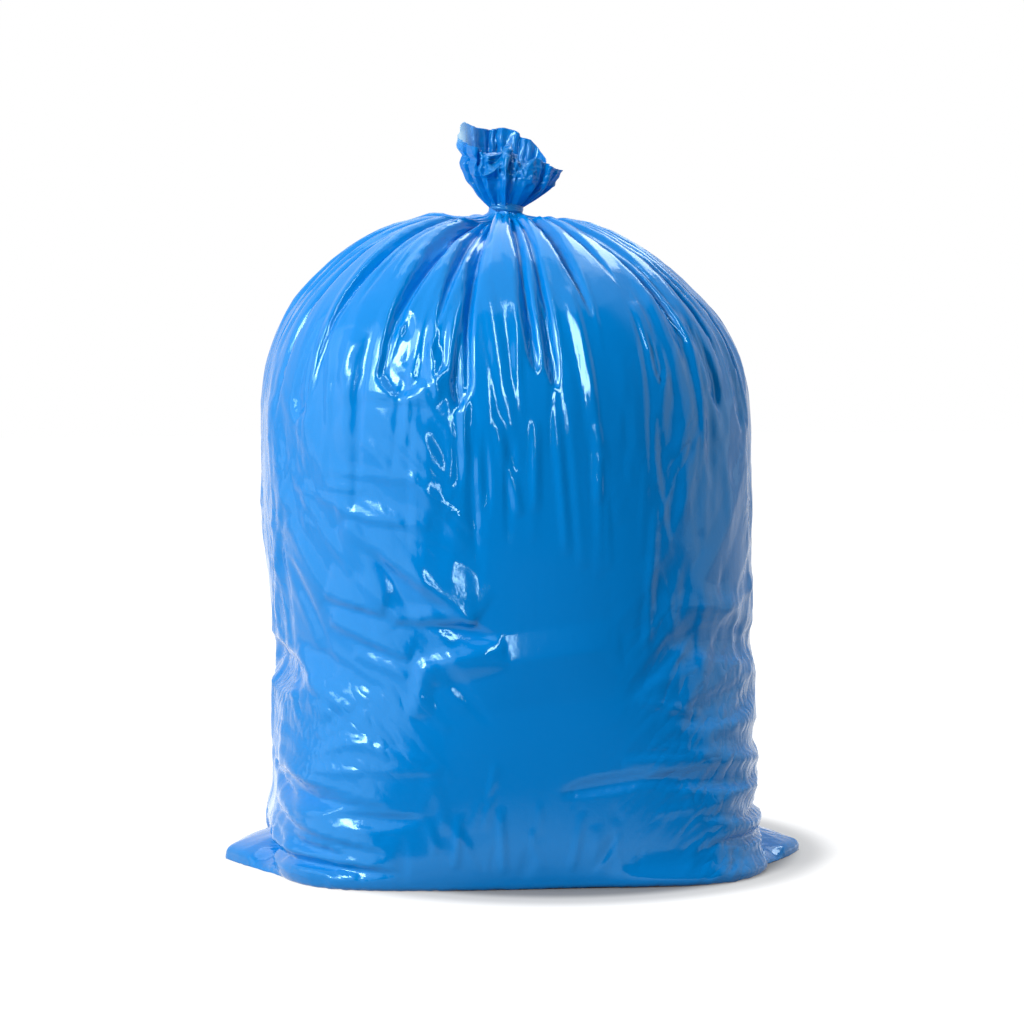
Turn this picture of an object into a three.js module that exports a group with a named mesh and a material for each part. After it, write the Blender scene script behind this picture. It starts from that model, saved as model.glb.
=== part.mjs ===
// A full garbage bag, tied shut: one sack of thin blue film and the band wound round its neck.
// Millimetres, +Z up. The bag stands on z = 0, its bottom seam runs along X and its front faces -Y.
// Azimuths are in degrees round +Z: 0 is the right side, 90 the back, 180 the left, 270 the front.

import * as THREE from "three";

// The full body.
const BODY_WIDTH = 478;
const BODY_DEPTH = 408;
const BODY_SQUARENESS = 2.3; // exponent of the section: 2 is an ellipse, more is boxier
const BASE_SQUARENESS = 4.2; // the same for the base, which its filling presses flat and wide
const BASE_FADE = 240; // height at which the base's boxiness is gone
const SHOULDER_HEIGHT = 416; // the sides stop standing upright here
const DOME_HEIGHT = 203; // from the shoulders to the film's top beside the neck
const WALL_RINGS = 24;
const DOME_RINGS = 13;
const DOME_SWEEP = 83; // degrees of a quarter turn that the dome covers before the neck
const DOME_SQUARENESS = 2.3; // exponent of its profile, as for the section

// The base, with the two ends of the bottom seal drawn out into flat corners on the floor.
const FOOT_INSET = 9; // the flat base lies this far inside the sides
const FOOT_HEIGHT = 38; // of the rounded edge between base and sides
const FOOT_RINGS = 8;
const FOOT_CROWDING = 1.5; // above 1, the rings stand closer near the floor
const TOE_REACH = 9; // the film bulges out this far at the floor, right of the front's middle
const TOE_AZIMUTH = 312;
const TOE_SPREAD = 30; // degrees to either side
const TOE_HEIGHT = 36; // at which the bulge is gone
const CORNER_REACH = 50; // from the base's end to the tip
const CORNER_THICKNESS = 6; // of the flattened film
const RIGHT_CORNER_RISE = 30; // height at which the corner's upper side meets the body
const LEFT_CORNER_RISE = 23;
const CORNER_SPREAD = 30; // a corner takes its full height this far out from the body
const CORNER_ROUNDNESS = 4; // exponent of a corner's upper side: 1 is straight, more is fuller
const CORNER_GROOVE = 8; // depth of the crease where a corner meets the body
const CORNER_GROOVE_WIDTH = 10;
const CORNER_START = 215; // distance from the middle at which the corners bend to the front
const CORNER_LEVEL = 20; // above a corner's rise, the bend fades over this height
const RIGHT_CORNER_BEND = 40; // towards the front, at the tip
const LEFT_CORNER_BEND = 20;

// The gathers that run from the neck over the dome: azimuth at the neck, length down from it, depth,
// half widths to the left and right, and how many degrees the lower end swings aside.
const GATHERS = [
  { at: 6, reach: 280, depth: 13, left: 9, right: 12, swing: 2 },
  { at: 25, reach: 300, depth: 20, left: 18, right: 8, swing: 3 },
  { at: 47, reach: 360, depth: 16, left: 9, right: 12, swing: -3 },
  { at: 60, reach: 280, depth: 22, left: 8, right: 22, swing: 2 },
  { at: 80, reach: 310, depth: 17, left: 13, right: 10, swing: -2 },
  { at: 95, reach: 380, depth: 22, left: 22, right: 8, swing: 3 },
  { at: 118, reach: 340, depth: 17, left: 10, right: 14, swing: -3 },
  { at: 131, reach: 290, depth: 21, left: 8, right: 20, swing: 2 },
  { at: 150, reach: 280, depth: 16, left: 12, right: 9, swing: -2 },
  { at: 159, reach: 400, depth: 11, left: 8, right: 9, swing: 0 },
  { at: 168, reach: 300, depth: 12, left: 9, right: 9, swing: -2 },
  { at: 192, reach: 320, depth: 11, left: 12, right: 4, swing: -4 },
  { at: 209, reach: 340, depth: 13, left: 13, right: 5, swing: -11 },
  { at: 218, reach: 320, depth: 13, left: 10, right: 12, swing: -5 },
  { at: 239, reach: 292, depth: 24, left: 17, right: 20, swing: -8 },
  { at: 249, reach: 250, depth: 18, left: 12, right: 13, swing: -5 },
  { at: 252.5, reach: 305, depth: 17, left: 16, right: 10, swing: 0 },
  { at: 267, reach: 285, depth: 10, left: 8, right: 9, swing: 4 },
  { at: 279, reach: 228, depth: 20, left: 6, right: 22, swing: 9 },
  { at: 293, reach: 190, depth: 10, left: 9, right: 9, swing: 8 },
  { at: 302, reach: 268, depth: 17, left: 5, right: 20, swing: 13 },
  { at: 316, reach: 290, depth: 14, left: 4, right: 16, swing: 11 },
  { at: 332, reach: 360, depth: 13, left: 4, right: 14, swing: 4 },
  { at: 350, reach: 380, depth: 9, left: 8, right: 8, swing: 2 },
];
const GATHER_ONSET = 85; // distance from the neck at which a gather has its full depth
const GATHER_WAIST = 0.25; // share of its width that a gather has at the neck
const GATHER_SPREAD = 160; // distance over which it takes its full width
const GATHER_TAPER = 1.6; // above 1, a gather stays deep for longer before it runs out
const GATHER_TIP = 0.1; // share of its width that is left at its lower end
const SEAM_AZIMUTHS = [0, 180]; // the ends of the bottom seal, above which no gather runs
const SEAM_HALF_WIDTH = 16;
const RIM_NEAREST = 0.3; // bounds of a rim's place between a valley and the crest beside it
const RIM_FURTHEST = 0.75;

// Raised folds. Ends are [azimuth, height along the film], with the half widths below and above the crest.
const RIDGES = [
  { from: [196, 450], to: [206, 322], height: 4.5, below: 34, above: 14 },
  { from: [205, 336], to: [218, 266], height: 4.5, below: 26, above: 12 },
  { from: [211, 436], to: [223, 338], height: 4, below: 22, above: 20 },
  { from: [217, 269], to: [233, 255], height: 5, below: 6, above: 34 },
  { from: [223, 338], to: [255, 247], height: 6, below: 10, above: 36 },
  { from: [218, 246], to: [239, 215], height: 4.8, below: 7, above: 22 },
  { from: [206, 216], to: [221, 158], height: 4.2, below: 22, above: 16 },
  { from: [30, 370], to: [60, 290], height: 6, below: 16, above: 26 },
  { from: [120, 330], to: [160, 250], height: 6, below: 16, above: 26 },
];

// Lens-shaped hollows where the film sags, given in the same way.
const SCOOPS = [
  { from: [168, 200], to: [212, 190], depth: 15, below: 26, above: 24 },
  { from: [186, 102], to: [228, 86], depth: 9, below: 12, above: 18 },
  { from: [190, 64], to: [236, 36], depth: 8, below: 12, above: 18 },
  { from: [304, 226], to: [352, 208], depth: 5.5, below: 18, above: 22 },
  { from: [302, 152], to: [344, 172], depth: 5, below: 16, above: 20 },
  { from: [312, 130], to: [356, 116], depth: 5.5, below: 14, above: 18 },
  { from: [296, 98], to: [346, 88], depth: 6.5, below: 10, above: 16 },
  { from: [308, 62], to: [384, 56], depth: 10, below: 10, above: 26 },
  { from: [186, 18], to: [238, 12], depth: 12, below: 10, above: 14 },
  { from: [311, 36], to: [346, 36], depth: 6, below: 8, above: 10 },
  { from: [66, 345], to: [114, 236], depth: 7, below: 28, above: 18 },
  { from: [24, 260], to: [88, 205], depth: 11, below: 26, above: 30 },
  { from: [16, 100], to: [80, 62], depth: 10, below: 18, above: 22 },
  { from: [94, 170], to: [164, 120], depth: 10, below: 22, above: 28 },
  { from: [84, 66], to: [154, 44], depth: 9, below: 14, above: 18 },
];

// Tongue-shaped hollows on the dome, which widen and deepen downwards to a blunt end.
const TONGUES = [
  { from: [241, 580], to: [236, 452], depth: 6, half: 30 },
  { from: [253, 600], to: [251, 442], depth: 6, half: 13 },
  { from: [46, 570], to: [42, 430], depth: 6, half: 24 },
  { from: [80, 570], to: [80, 440], depth: 6, half: 18 },
  { from: [104, 570], to: [108, 420], depth: 6, half: 26 },
  { from: [146, 570], to: [142, 440], depth: 6, half: 20 },
];
const TONGUE_TOP = 0.2; // share of the width at the upper end
const TONGUE_FULL = 0.8; // share of the length at which the depth is full
const TONGUE_END = 0.16; // share of the length that the blunt end takes
const TONGUE_STEEPNESS = 3; // of the walls
const FORM_START = 4; // height from which the folds above show, to keep the base flat
const FORM_RISE = 20;

// The outline: slack low on the left, drawn in on the right, and full round the neck.
const LEFT_SLACK = 11;
const SLACK_TOP = 360;
const SLACK_FADE = 190; // height over which the slack grows
const SLACK_FOOT = 20; // height at which it starts above the base
const SLACK_RISE = 50;
const RIGHT_TUCK = 8;
const TUCK_AZIMUTH = 353;
const TUCK_SPREAD = 85; // degrees to either side
const TUCK_ONSET = 120; // distance from the neck at which the tuck is full
const SHOULDER_TUCK = 4; // more of it on the dome
const SHOULDER_MIDDLE = 167; // distance from the neck at which that is most
const SHOULDER_SPREAD = 120;
const RIGHT_CROWN = 7; // the film stands this much fuller round the neck
const LEFT_CROWN = 8;
const CROWN_START = 35; // distance from the neck
const CROWN_RISE = 35;
const CROWN_END = 200;
const CROWN_FADE = 120;

// The neck and the band round it.
const NECK_SHIFT = -5; // the neck stands left of the body's middle
const NECK_TILT = 10; // degrees, the right side lower
const NECK_RADIUS = 14;
const TIE_STRAND = 4; // height of one turn
const TIE_TURNS = 3;
const TIE_THICKNESS = 3;
const TIE_GROOVE = 0.4; // share of the thickness left between two turns
const TIE_CLEARANCE = 0.3;
const TIE_SEGMENTS = 40;
const TIE_ARC_STEPS = 3; // straight steps across one turn's round outside
const NECK_LEAD = 4; // bare neck between the dome and the band

// The open, ruffled end of the film above the band: [radius, height above the band] of its belly and rim.
const TUFT_SPOTS = [
  { at: 15, belly: [30, 14], rim: [36, 34] },
  { at: 32, belly: [34, 16], rim: [40, 44] },
  { at: 46, belly: [34, 18], rim: [36, 58] },
  { at: 70, belly: [30, 24], rim: [29, 62] },
  { at: 95, belly: [34, 28], rim: [32, 70] },
  { at: 122, belly: [38, 28], rim: [42, 68] },
  { at: 150, belly: [42, 24], rim: [52, 75] },
  { at: 166, belly: [44, 24], rim: [48, 66] },
  { at: 180, belly: [46, 24], rim: [52, 56] },
  { at: 202, belly: [44, 22], rim: [44, 46] },
  { at: 226, belly: [42, 22], rim: [36, 47] },
  { at: 250, belly: [44, 24], rim: [26, 50] },
  { at: 270, belly: [46, 24], rim: [20, 43] },
  { at: 290, belly: [44, 22], rim: [22, 48] },
  { at: 312, belly: [40, 18], rim: [32, 40] },
  { at: 336, belly: [40, 16], rim: [50, 30] },
  { at: 354, belly: [40, 14], rim: [53, 28] },
];
const TUFT_LEAN = 5; // degrees to the right
const TUFT_FOLDS = 11;
const TUFT_FOLD_DEPTH = 5.5; // at the rim
const TUFT_FOLD_ONSET = 0.8; // below 1, the folds show soon above the band
const TUFT_FOLD_PHASE = 1;
// Waves, in radians, by which the folds of the loose end stray from even spacing.
const TUFT_DRIFTS = [
  { count: 3, reach: 0.16, phase: 1 },
  { count: 5, reach: 0.1, phase: 2 },
];
const TUFT_RINGS = 6;
const FILM_WALL = 1.6; // the loose film is modelled this thick
const THROAT_TAPER = 3; // higher closes the loose end's inside sooner above the band

const FULL_TURN = 2 * Math.PI;
const EDGE_STEP = 0.005; // radians between trial directions for a corner's edge
const { degToRad: radians, radToDeg: degrees, clamp, euclideanModulo, lerp, smoothstep } = THREE.MathUtils;

const film = new THREE.MeshStandardMaterial({ color: 0x0f73c8, roughness: 0.25, metalness: 0 });
const tape = new THREE.MeshStandardMaterial({ color: 0x2c82c4, roughness: 0.35, metalness: 0 });

const meanRadius = (BODY_WIDTH + BODY_DEPTH) / 4;
const tieHeight = TIE_TURNS * TIE_STRAND;
const tieBore = NECK_RADIUS + TIE_CLEARANCE;
const neckTilt = radians(NECK_TILT);
const neckFrame = new THREE.Matrix4()
  .makeRotationY(neckTilt)
  .setPosition(NECK_SHIFT, 0, SHOULDER_HEIGHT + DOME_HEIGHT + NECK_LEAD);
const neckTop = new THREE.Vector3(0, 0, tieHeight).applyMatrix4(neckFrame);

// The net's columns stand by the gathers and by the two ends of the seal, in order round the bag.
const seamWidths = { left: SEAM_HALF_WIDTH, right: SEAM_HALF_WIDTH };
const seams = SEAM_AZIMUTHS.map((at) => ({ at, reach: BODY_DEPTH, swing: 0, ...seamWidths }));
const stands = [...GATHERS, ...seams].sort((one, other) => one.at - other.at);
const columns = stands.flatMap((stand, n) => {
  const next = stands[(n + 1) % stands.length];
  return ["valley", "right rim", "crest", "left rim"].map((part) => ({ stand, next, part }));
});

// Degrees from one azimuth to another, the short way round.
const turnTo = (azimuth, from) => euclideanModulo(azimuth - from + 180, 360) - 180;

// 1 at an azimuth, falling smoothly to 0 a spread away.
const near = (azimuth, centre, spread) => smoothstep(1 - Math.abs(turnTo(azimuth, centre)) / spread, 0, 1);

const valleyAzimuth = ({ at, swing, reach }, distance) => at + swing * Math.min(1, distance / reach);

// What is left of a gather's depth at a distance from the neck.
const gatherTaper = ({ reach }, distance) => 1 - Math.min(1, distance / reach) ** GATHER_TAPER;

// The share of its full width that a gather has at a distance from the neck.
function gatherWidth(gather, distance) {
  const spread = Math.min(1, GATHER_WAIST + distance / GATHER_SPREAD);
  return spread * lerp(GATHER_TIP, 1, gatherTaper(gather, distance));
}

// The azimuth of a column on a ring of the film, given the ring's radius and its distance from the neck.
function columnAzimuth({ stand, next, part }, radius, distance) {
  const from = valleyAzimuth(stand, distance);
  const gap = euclideanModulo(valleyAzimuth(next, distance) - from, 360);
  const rim = (gather, half) => {
    const share = degrees((half * gatherWidth(gather, distance)) / radius) / (gap / 2);
    return (gap / 2) * clamp(share, RIM_NEAREST, RIM_FURTHEST);
  };
  if (part === "valley") return from;
  if (part === "right rim") return from + rim(stand, stand.right);
  if (part === "crest") return from + gap / 2;
  return from + gap - rim(next, next.left);
}

// How deep the gathers lie at a place. Each is a hollow between two crisp rims.
function gatherDepth(azimuth, radius, distance) {
  const depths = GATHERS.map((gather) => {
    const away = radians(turnTo(azimuth, valleyAzimuth(gather, distance))) * radius;
    const half = (away > 0 ? gather.right : gather.left) * gatherWidth(gather, distance);
    const onset = Math.min(1, distance / GATHER_ONSET);
    return gather.depth * onset * gatherTaper(gather, distance) * (1 - (away / half) ** 2);
  });
  return Math.max(0, ...depths);
}

// Where a place lies beside a fold's line: the share along it, and the distance aside over the half width.
function besideLine({ from, to, below, above }, azimuth, up, radius) {
  const run = new THREE.Vector2(radians(to[0] - from[0]) * radius, to[1] - from[1]);
  const point = new THREE.Vector2(radians(turnTo(azimuth, from[0])) * radius, up - from[1]);
  const aside = run.cross(point) / run.length();
  return { along: point.dot(run) / run.lengthSq(), aside: Math.abs(aside) / (aside > 0 ? above : below) };
}

// The sum of the ridges, scoops and tongues at a place, positive outwards.
function foldOffset(azimuth, up, radius) {
  const lens = (along) => clamp(4 * along * (1 - along), 0, 1);
  let offset = 0;
  for (const ridge of RIDGES) {
    const { along, aside } = besideLine(ridge, azimuth, up, radius);
    offset += ridge.height * clamp(1 - aside, 0, 1) * Math.sqrt(lens(along));
  }
  for (const scoop of SCOOPS) {
    const { along, aside } = besideLine(scoop, azimuth, up, radius);
    offset -= scoop.depth * clamp(lens(along) - aside ** 2, 0, 1);
  }
  for (const { from, to, depth, half } of TONGUES) {
    const { along, aside } = besideLine({ from, to, below: half, above: half }, azimuth, up, radius);
    const width = lerp(TONGUE_TOP, 1, clamp(along, 0, 1));
    const blunt = Math.sqrt(clamp((1 - along) / TONGUE_END, 0, 1));
    const walls = clamp(TONGUE_STEEPNESS * (blunt - aside / width), 0, 1);
    offset -= depth * smoothstep(along, 0, TONGUE_FULL) * walls;
  }
  return offset;
}

// How far the outline departs from the plain body at a place, positive outwards.
function outlineOffset(azimuth, height, distance) {
  const rightness = Math.cos(radians(azimuth));
  const rise = (value, start, length) => smoothstep(value, start, start + length);
  const slack = rise(SLACK_TOP - height, 0, SLACK_FADE) * rise(height, SLACK_FOOT, SLACK_RISE);
  const tuck = near(azimuth, TUCK_AZIMUTH, TUCK_SPREAD) * rise(distance, 0, TUCK_ONSET);
  const shoulder = rise(SHOULDER_SPREAD - Math.abs(distance - SHOULDER_MIDDLE), 0, SHOULDER_SPREAD);
  const crown = rise(distance, CROWN_START, CROWN_RISE) * rise(CROWN_END - distance, 0, CROWN_FADE);
  return (
    crown * lerp(LEFT_CROWN, RIGHT_CROWN, (1 + rightness) / 2) -
    LEFT_SLACK * slack * clamp(-rightness, 0, 1) ** 2 -
    tuck * (RIGHT_TUCK * rise(height, FORM_START, FORM_RISE) + SHOULDER_TUCK * shoulder)
  );
}

// The whole departure of the film from the plain body at a place, positive outwards.
function filmOffset(azimuth, height, up, radius, distance) {
  const folds = foldOffset(azimuth, up, radius) * smoothstep(height, FORM_START, FORM_START + FORM_RISE);
  return folds + outlineOffset(azimuth, height, distance) - gatherDepth(azimuth, radius, distance);
}

// The section at a height, as the distance from its middle to its side.
function bodyRadius(azimuth, height) {
  const power = lerp(BASE_SQUARENESS, BODY_SQUARENESS, smoothstep(height, 0, BASE_FADE));
  const x = Math.abs(Math.cos(radians(azimuth))) / (BODY_WIDTH / 2);
  const y = Math.abs(Math.sin(radians(azimuth))) / (BODY_DEPTH / 2);
  const toe = near(azimuth, TOE_AZIMUTH, TOE_SPREAD) * (1 - smoothstep(height, 0, TOE_HEIGHT));
  return (x ** power + y ** power) ** (-1 / power) + TOE_REACH * toe;
}

const baseRadius = (azimuth) => bodyRadius(azimuth, 0) - FOOT_INSET;
const cornerTip = baseRadius(0) + CORNER_REACH;

// The edge of a flat corner on the floor, which runs straight from its tip to where it just meets the base.
function cornerEdge() {
  const edge = { slope: 0, angle: 0 };
  for (let angle = 0; angle < Math.PI / 2; angle += EDGE_STEP) {
    const radius = baseRadius(degrees(angle));
    const slope = (radius * Math.sin(angle)) / (cornerTip - radius * Math.cos(angle));
    if (slope > edge.slope) Object.assign(edge, { slope, angle });
  }
  return edge;
}

// The distance from the middle to a corner's edge in one direction, or 0 where there is no corner.
function cornerRadius(azimuth, edge) {
  const x = Math.abs(Math.cos(radians(azimuth)));
  const y = Math.abs(Math.sin(radians(azimuth)));
  if (Math.atan2(y, x) > edge.angle) return 0;
  return (cornerTip * edge.slope) / (edge.slope * x + y);
}

function polar(radius, azimuth, height) {
  return new THREE.Vector3(radius * Math.cos(radians(azimuth)), radius * Math.sin(radians(azimuth)), height);
}

// Each function below gives rings of the film, from the floor up. A ring turns a column into a point.

// The corners bend to the front, most at their tips.
function bendCorner(point) {
  const outer = smoothstep(Math.abs(point.x), CORNER_START, cornerTip);
  const rise = point.x > 0 ? RIGHT_CORNER_RISE : LEFT_CORNER_RISE;
  const low = 1 - smoothstep(point.z, rise, rise + CORNER_LEVEL);
  return point.setY(point.y - (point.x > 0 ? RIGHT_CORNER_BEND : LEFT_CORNER_BEND) * outer * low);
}

// The rounded foot, with the two flat corners that lie on the floor.
function footRings(domeLength) {
  const edge = cornerEdge();
  return Array.from({ length: FOOT_RINGS }, (_, ring) => {
    const share = ring / FOOT_RINGS;
    const height = FOOT_HEIGHT * share ** FOOT_CROWDING;
    const bulge = 1 - Math.sqrt(1 - (1 - share) ** 2);
    const distance = domeLength + SHOULDER_HEIGHT - height;
    return (column) => {
      const azimuth = columnAzimuth(column, meanRadius, distance);
      const side = bodyRadius(azimuth, height) - FOOT_INSET * bulge;
      const beyond = Math.max(0, cornerRadius(azimuth, edge) - side);
      const rise = Math.cos(radians(azimuth)) > 0 ? RIGHT_CORNER_RISE : LEFT_CORNER_RISE;
      const crease = lerp(CORNER_THICKNESS, rise, smoothstep(beyond, 0, CORNER_SPREAD));
      const flap = Math.max(0, 1 - (height / crease) ** CORNER_ROUNDNESS);
      const groove = clamp(1 - Math.abs(height - crease) / CORNER_GROOVE_WIDTH, 0, 1);
      const sunk = CORNER_GROOVE * groove * smoothstep(beyond, 0, CORNER_SPREAD);
      const offset = filmOffset(azimuth, height, height, meanRadius, distance);
      return bendCorner(polar(side + beyond * flap - sunk + offset, azimuth, height));
    };
  });
}

// The upright sides, with the lower ends of the longest gathers.
function wallRings(domeLength) {
  return Array.from({ length: WALL_RINGS }, (_, ring) => {
    const height = lerp(FOOT_HEIGHT, SHOULDER_HEIGHT, ring / WALL_RINGS);
    const distance = domeLength + SHOULDER_HEIGHT - height;
    return (column) => {
      const azimuth = columnAzimuth(column, meanRadius, distance);
      const offset = filmOffset(azimuth, height, height, meanRadius, distance);
      return bendCorner(polar(bodyRadius(azimuth, height) + offset, azimuth, height));
    };
  });
}

// The levels of the dome's rings: shares of its width and height, and the film's length up to the neck.
function domeLevels() {
  const levels = Array.from({ length: DOME_RINGS }, (_, ring) => {
    const lift = radians((DOME_SWEEP * ring) / (DOME_RINGS - 1));
    const power = 2 / DOME_SQUARENESS;
    return { across: Math.cos(lift) ** power, up: Math.sin(lift) ** power };
  });
  let above = { across: NECK_RADIUS / meanRadius, up: 1, distance: NECK_LEAD };
  for (const level of levels.toReversed()) {
    const inwards = meanRadius * (level.across - above.across);
    level.distance = above.distance + Math.hypot(inwards, DOME_HEIGHT * (above.up - level.up));
    above = level;
  }
  return levels;
}

// The dome, a full quarter round turned about the neck. Its folds sink along its normal.
function domeRings(levels) {
  return levels.map(({ across, up, distance }) => {
    const height = SHOULDER_HEIGHT + DOME_HEIGHT * up;
    const alongFilm = SHOULDER_HEIGHT + levels[0].distance - distance;
    return (column) => {
      const azimuth = columnAzimuth(column, meanRadius * across, distance);
      const radius = bodyRadius(azimuth, SHOULDER_HEIGHT);
      const steepness = DOME_SQUARENESS - 1;
      const normal = new THREE.Vector2(across ** steepness / radius, up ** steepness / DOME_HEIGHT);
      normal.normalize();
      const offset = filmOffset(azimuth, height, alongFilm, meanRadius * across, distance);
      const point = polar(radius * across + offset * normal.x, azimuth, height + offset * normal.y);
      return point.setX(point.x + NECK_SHIFT * up);
    };
  });
}

// The round neck that the band grips, in the neck's own tilted frame.
function neckRings() {
  const levels = [-NECK_LEAD / 2, 0, tieHeight];
  return levels.map((level) => (column) => {
    const azimuth = columnAzimuth(column, NECK_RADIUS, 0);
    return polar(NECK_RADIUS, azimuth, level).applyMatrix4(neckFrame);
  });
}

// The belly and the rim of the loose end at an azimuth, between the two nearest spots.
function tuftSpot(azimuth) {
  const turned = euclideanModulo(azimuth - TUFT_SPOTS[0].at, 360) + TUFT_SPOTS[0].at;
  const n = TUFT_SPOTS.findLastIndex(({ at }) => at <= turned);
  const [spot, next] = [TUFT_SPOTS[n], TUFT_SPOTS[(n + 1) % TUFT_SPOTS.length]];
  const share = (turned - spot.at) / euclideanModulo(next.at - spot.at, 360);
  const between = (part) => new THREE.Vector2(...spot[part]).lerp(new THREE.Vector2(...next[part]), share);
  return { belly: between("belly"), rim: between("rim") };
}

// One point of the loose end: share 0 is at the band and 1 at the rim, and wall takes the film's inner side.
function tuftPoint(azimuth, share, wall) {
  const { belly, rim } = tuftSpot(azimuth);
  const start = (1 - share) ** 2;
  const profile = belly.multiplyScalar(2 * share * (1 - share)).add(rim.multiplyScalar(share ** 2));
  const angle = radians(azimuth);
  let warped = angle;
  for (const { count, reach, phase } of TUFT_DRIFTS) warped += reach * Math.sin(count * angle + phase);
  const fold = TUFT_FOLD_DEPTH * share ** TUFT_FOLD_ONSET * Math.sin(TUFT_FOLDS * warped + TUFT_FOLD_PHASE);
  const point = polar(NECK_RADIUS * start + profile.x + fold - wall, azimuth, profile.y);
  point.x += Math.tan(radians(TUFT_LEAN)) * profile.y;
  point.z -= Math.sin(neckTilt) * NECK_RADIUS * Math.cos(angle) * start;
  return point.add(neckTop);
}

// The loose end's outside, up to the rim, and then its inside, down to the throat.
function tuftRings() {
  const shares = Array.from({ length: TUFT_RINGS }, (_, ring) => (ring + 1) / TUFT_RINGS);
  const place = (column) => columnAzimuth(column, NECK_RADIUS, 0);
  const outside = shares.map((share) => (column) => tuftPoint(place(column), share, 0));
  const inside = shares.toReversed().map((share) => {
    const throat = (NECK_RADIUS - 2 * FILM_WALL) * (1 - share) ** THROAT_TAPER;
    return (column) => tuftPoint(place(column), share, FILM_WALL + throat);
  });
  return [...outside, ...inside];
}

// Closes rings of points into one skin, with a fan to the middle of the first and the last.
function skin(rings, firstMiddle, lastMiddle) {
  const points = [firstMiddle, ...rings.flatMap((ring) => columns.map(ring)), lastMiddle];
  const at = (ring, column) => 1 + ring * columns.length + (column % columns.length);
  const faces = [];
  columns.forEach((_, n) => {
    faces.push(0, at(0, n + 1), at(0, n));
    for (let ring = 0; ring < rings.length - 1; ring++) {
      faces.push(at(ring, n), at(ring, n + 1), at(ring + 1, n + 1));
      faces.push(at(ring, n), at(ring + 1, n + 1), at(ring + 1, n));
    }
    faces.push(at(rings.length - 1, n), at(rings.length - 1, n + 1), points.length - 1);
  });
  const geometry = new THREE.BufferGeometry().setFromPoints(points).setIndex(faces);
  geometry.computeVertexNormals();
  return geometry;
}

// The sack and what fills it, as one solid.
function makeBag() {
  const levels = domeLevels();
  const domeLength = levels[0].distance;
  const rings = [
    ...footRings(domeLength),
    ...wallRings(domeLength),
    ...domeRings(levels),
    ...neckRings(),
    ...tuftRings(),
  ];
  const throat = new THREE.Vector3(0, 0, tieHeight + FILM_WALL).applyMatrix4(neckFrame);
  const bag = new THREE.Mesh(skin(rings, new THREE.Vector3(), throat), film);
  bag.name = "bag";
  return bag;
}

// The band: turns of narrow tape wound side by side, drawn tight round the neck.
function makeTie() {
  const outline = [new THREE.Vector2(tieBore, 0)];
  for (let turn = 0; turn < TIE_TURNS; turn++) {
    for (let step = 0; step <= TIE_ARC_STEPS; step++) {
      const sweep = (Math.PI * (step + 0.5)) / (TIE_ARC_STEPS + 1);
      const height = TIE_STRAND * (turn + (1 - Math.cos(sweep)) / 2);
      outline.push(new THREE.Vector2(tieBore + TIE_THICKNESS * lerp(TIE_GROOVE, 1, Math.sin(sweep)), height));
    }
  }
  outline.push(new THREE.Vector2(tieBore, tieHeight), outline[0]);
  const geometry = new THREE.LatheGeometry(outline, TIE_SEGMENTS).rotateX(Math.PI / 2);
  const tie = new THREE.Mesh(geometry, tape);
  tie.name = "neck_tie";
  tie.applyMatrix4(neckFrame);
  return tie;
}

const tiedBag = new THREE.Group();
tiedBag.add(makeBag(), makeTie());

export default tiedBag;
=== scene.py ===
"""A full garbage bag of glossy blue film, tied shut, on a pale studio floor."""
import math

import bpy
import numpy as np
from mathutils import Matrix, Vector


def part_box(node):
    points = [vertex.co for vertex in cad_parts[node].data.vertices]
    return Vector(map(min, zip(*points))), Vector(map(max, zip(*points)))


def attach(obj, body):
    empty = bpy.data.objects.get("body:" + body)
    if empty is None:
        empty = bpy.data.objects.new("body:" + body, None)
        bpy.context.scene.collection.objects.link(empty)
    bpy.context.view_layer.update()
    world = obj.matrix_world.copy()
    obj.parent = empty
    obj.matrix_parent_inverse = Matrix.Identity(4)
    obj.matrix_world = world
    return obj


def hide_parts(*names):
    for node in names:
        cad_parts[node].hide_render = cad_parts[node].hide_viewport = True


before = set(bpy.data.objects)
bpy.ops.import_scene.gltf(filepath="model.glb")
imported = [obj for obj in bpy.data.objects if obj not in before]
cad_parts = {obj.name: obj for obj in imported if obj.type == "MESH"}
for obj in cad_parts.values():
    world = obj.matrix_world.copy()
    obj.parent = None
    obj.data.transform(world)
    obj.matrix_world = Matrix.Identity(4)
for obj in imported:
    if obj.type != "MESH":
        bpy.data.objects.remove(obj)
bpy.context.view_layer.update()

# Lengths are metres, and millimetres in the tables of folds and of the loose end's shape.
# Azimuths are degrees round +Z: 0 is right, 90 the back, 180 left and 270 the front.
MM = 0.001

# The mould: the body's smooth outer shape, as in the frame's solid. Pairs are for the right and left side.
HALF_WIDTH = 0.239
HALF_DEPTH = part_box("bag")[1][1]
BODY_SQUARENESS = 2.3  # exponent: 2 is an ellipse, more is boxier
BASE_SQUARENESS = 4.2
BASE_FADE = 0.240  # height at which the base's boxiness is gone
SHOULDER = 0.416
DOME_HEIGHT = 0.203
DOME_SWEEP = 83
FOOT_INSET = 0.009
FOOT_HEIGHT = 0.038
FOOT_CROWDING = 1.5
TOE_REACH = 0.009
TOE_AZIMUTH = 312
TOE_SPREAD = 30
TOE_HEIGHT = 0.036
CORNER_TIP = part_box("bag")[1][0]
CORNER_THICKNESS = 0.006
CORNER_RISE = (0.030, 0.023)
CORNER_SPREAD = 0.030
CORNER_ROUNDNESS = 4
CORNER_GROOVE = 0.008  # depth of the crease above a corner
CORNER_GROOVE_START = 0.020
CORNER_GROOVE_WIDTH = 0.010
CORNER_SLIT = 0.008  # depth of the slit where a corner leaves the foot
CORNER_SLIT_PLACE = 0.014
CORNER_SLIT_WIDTH = 0.008
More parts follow.
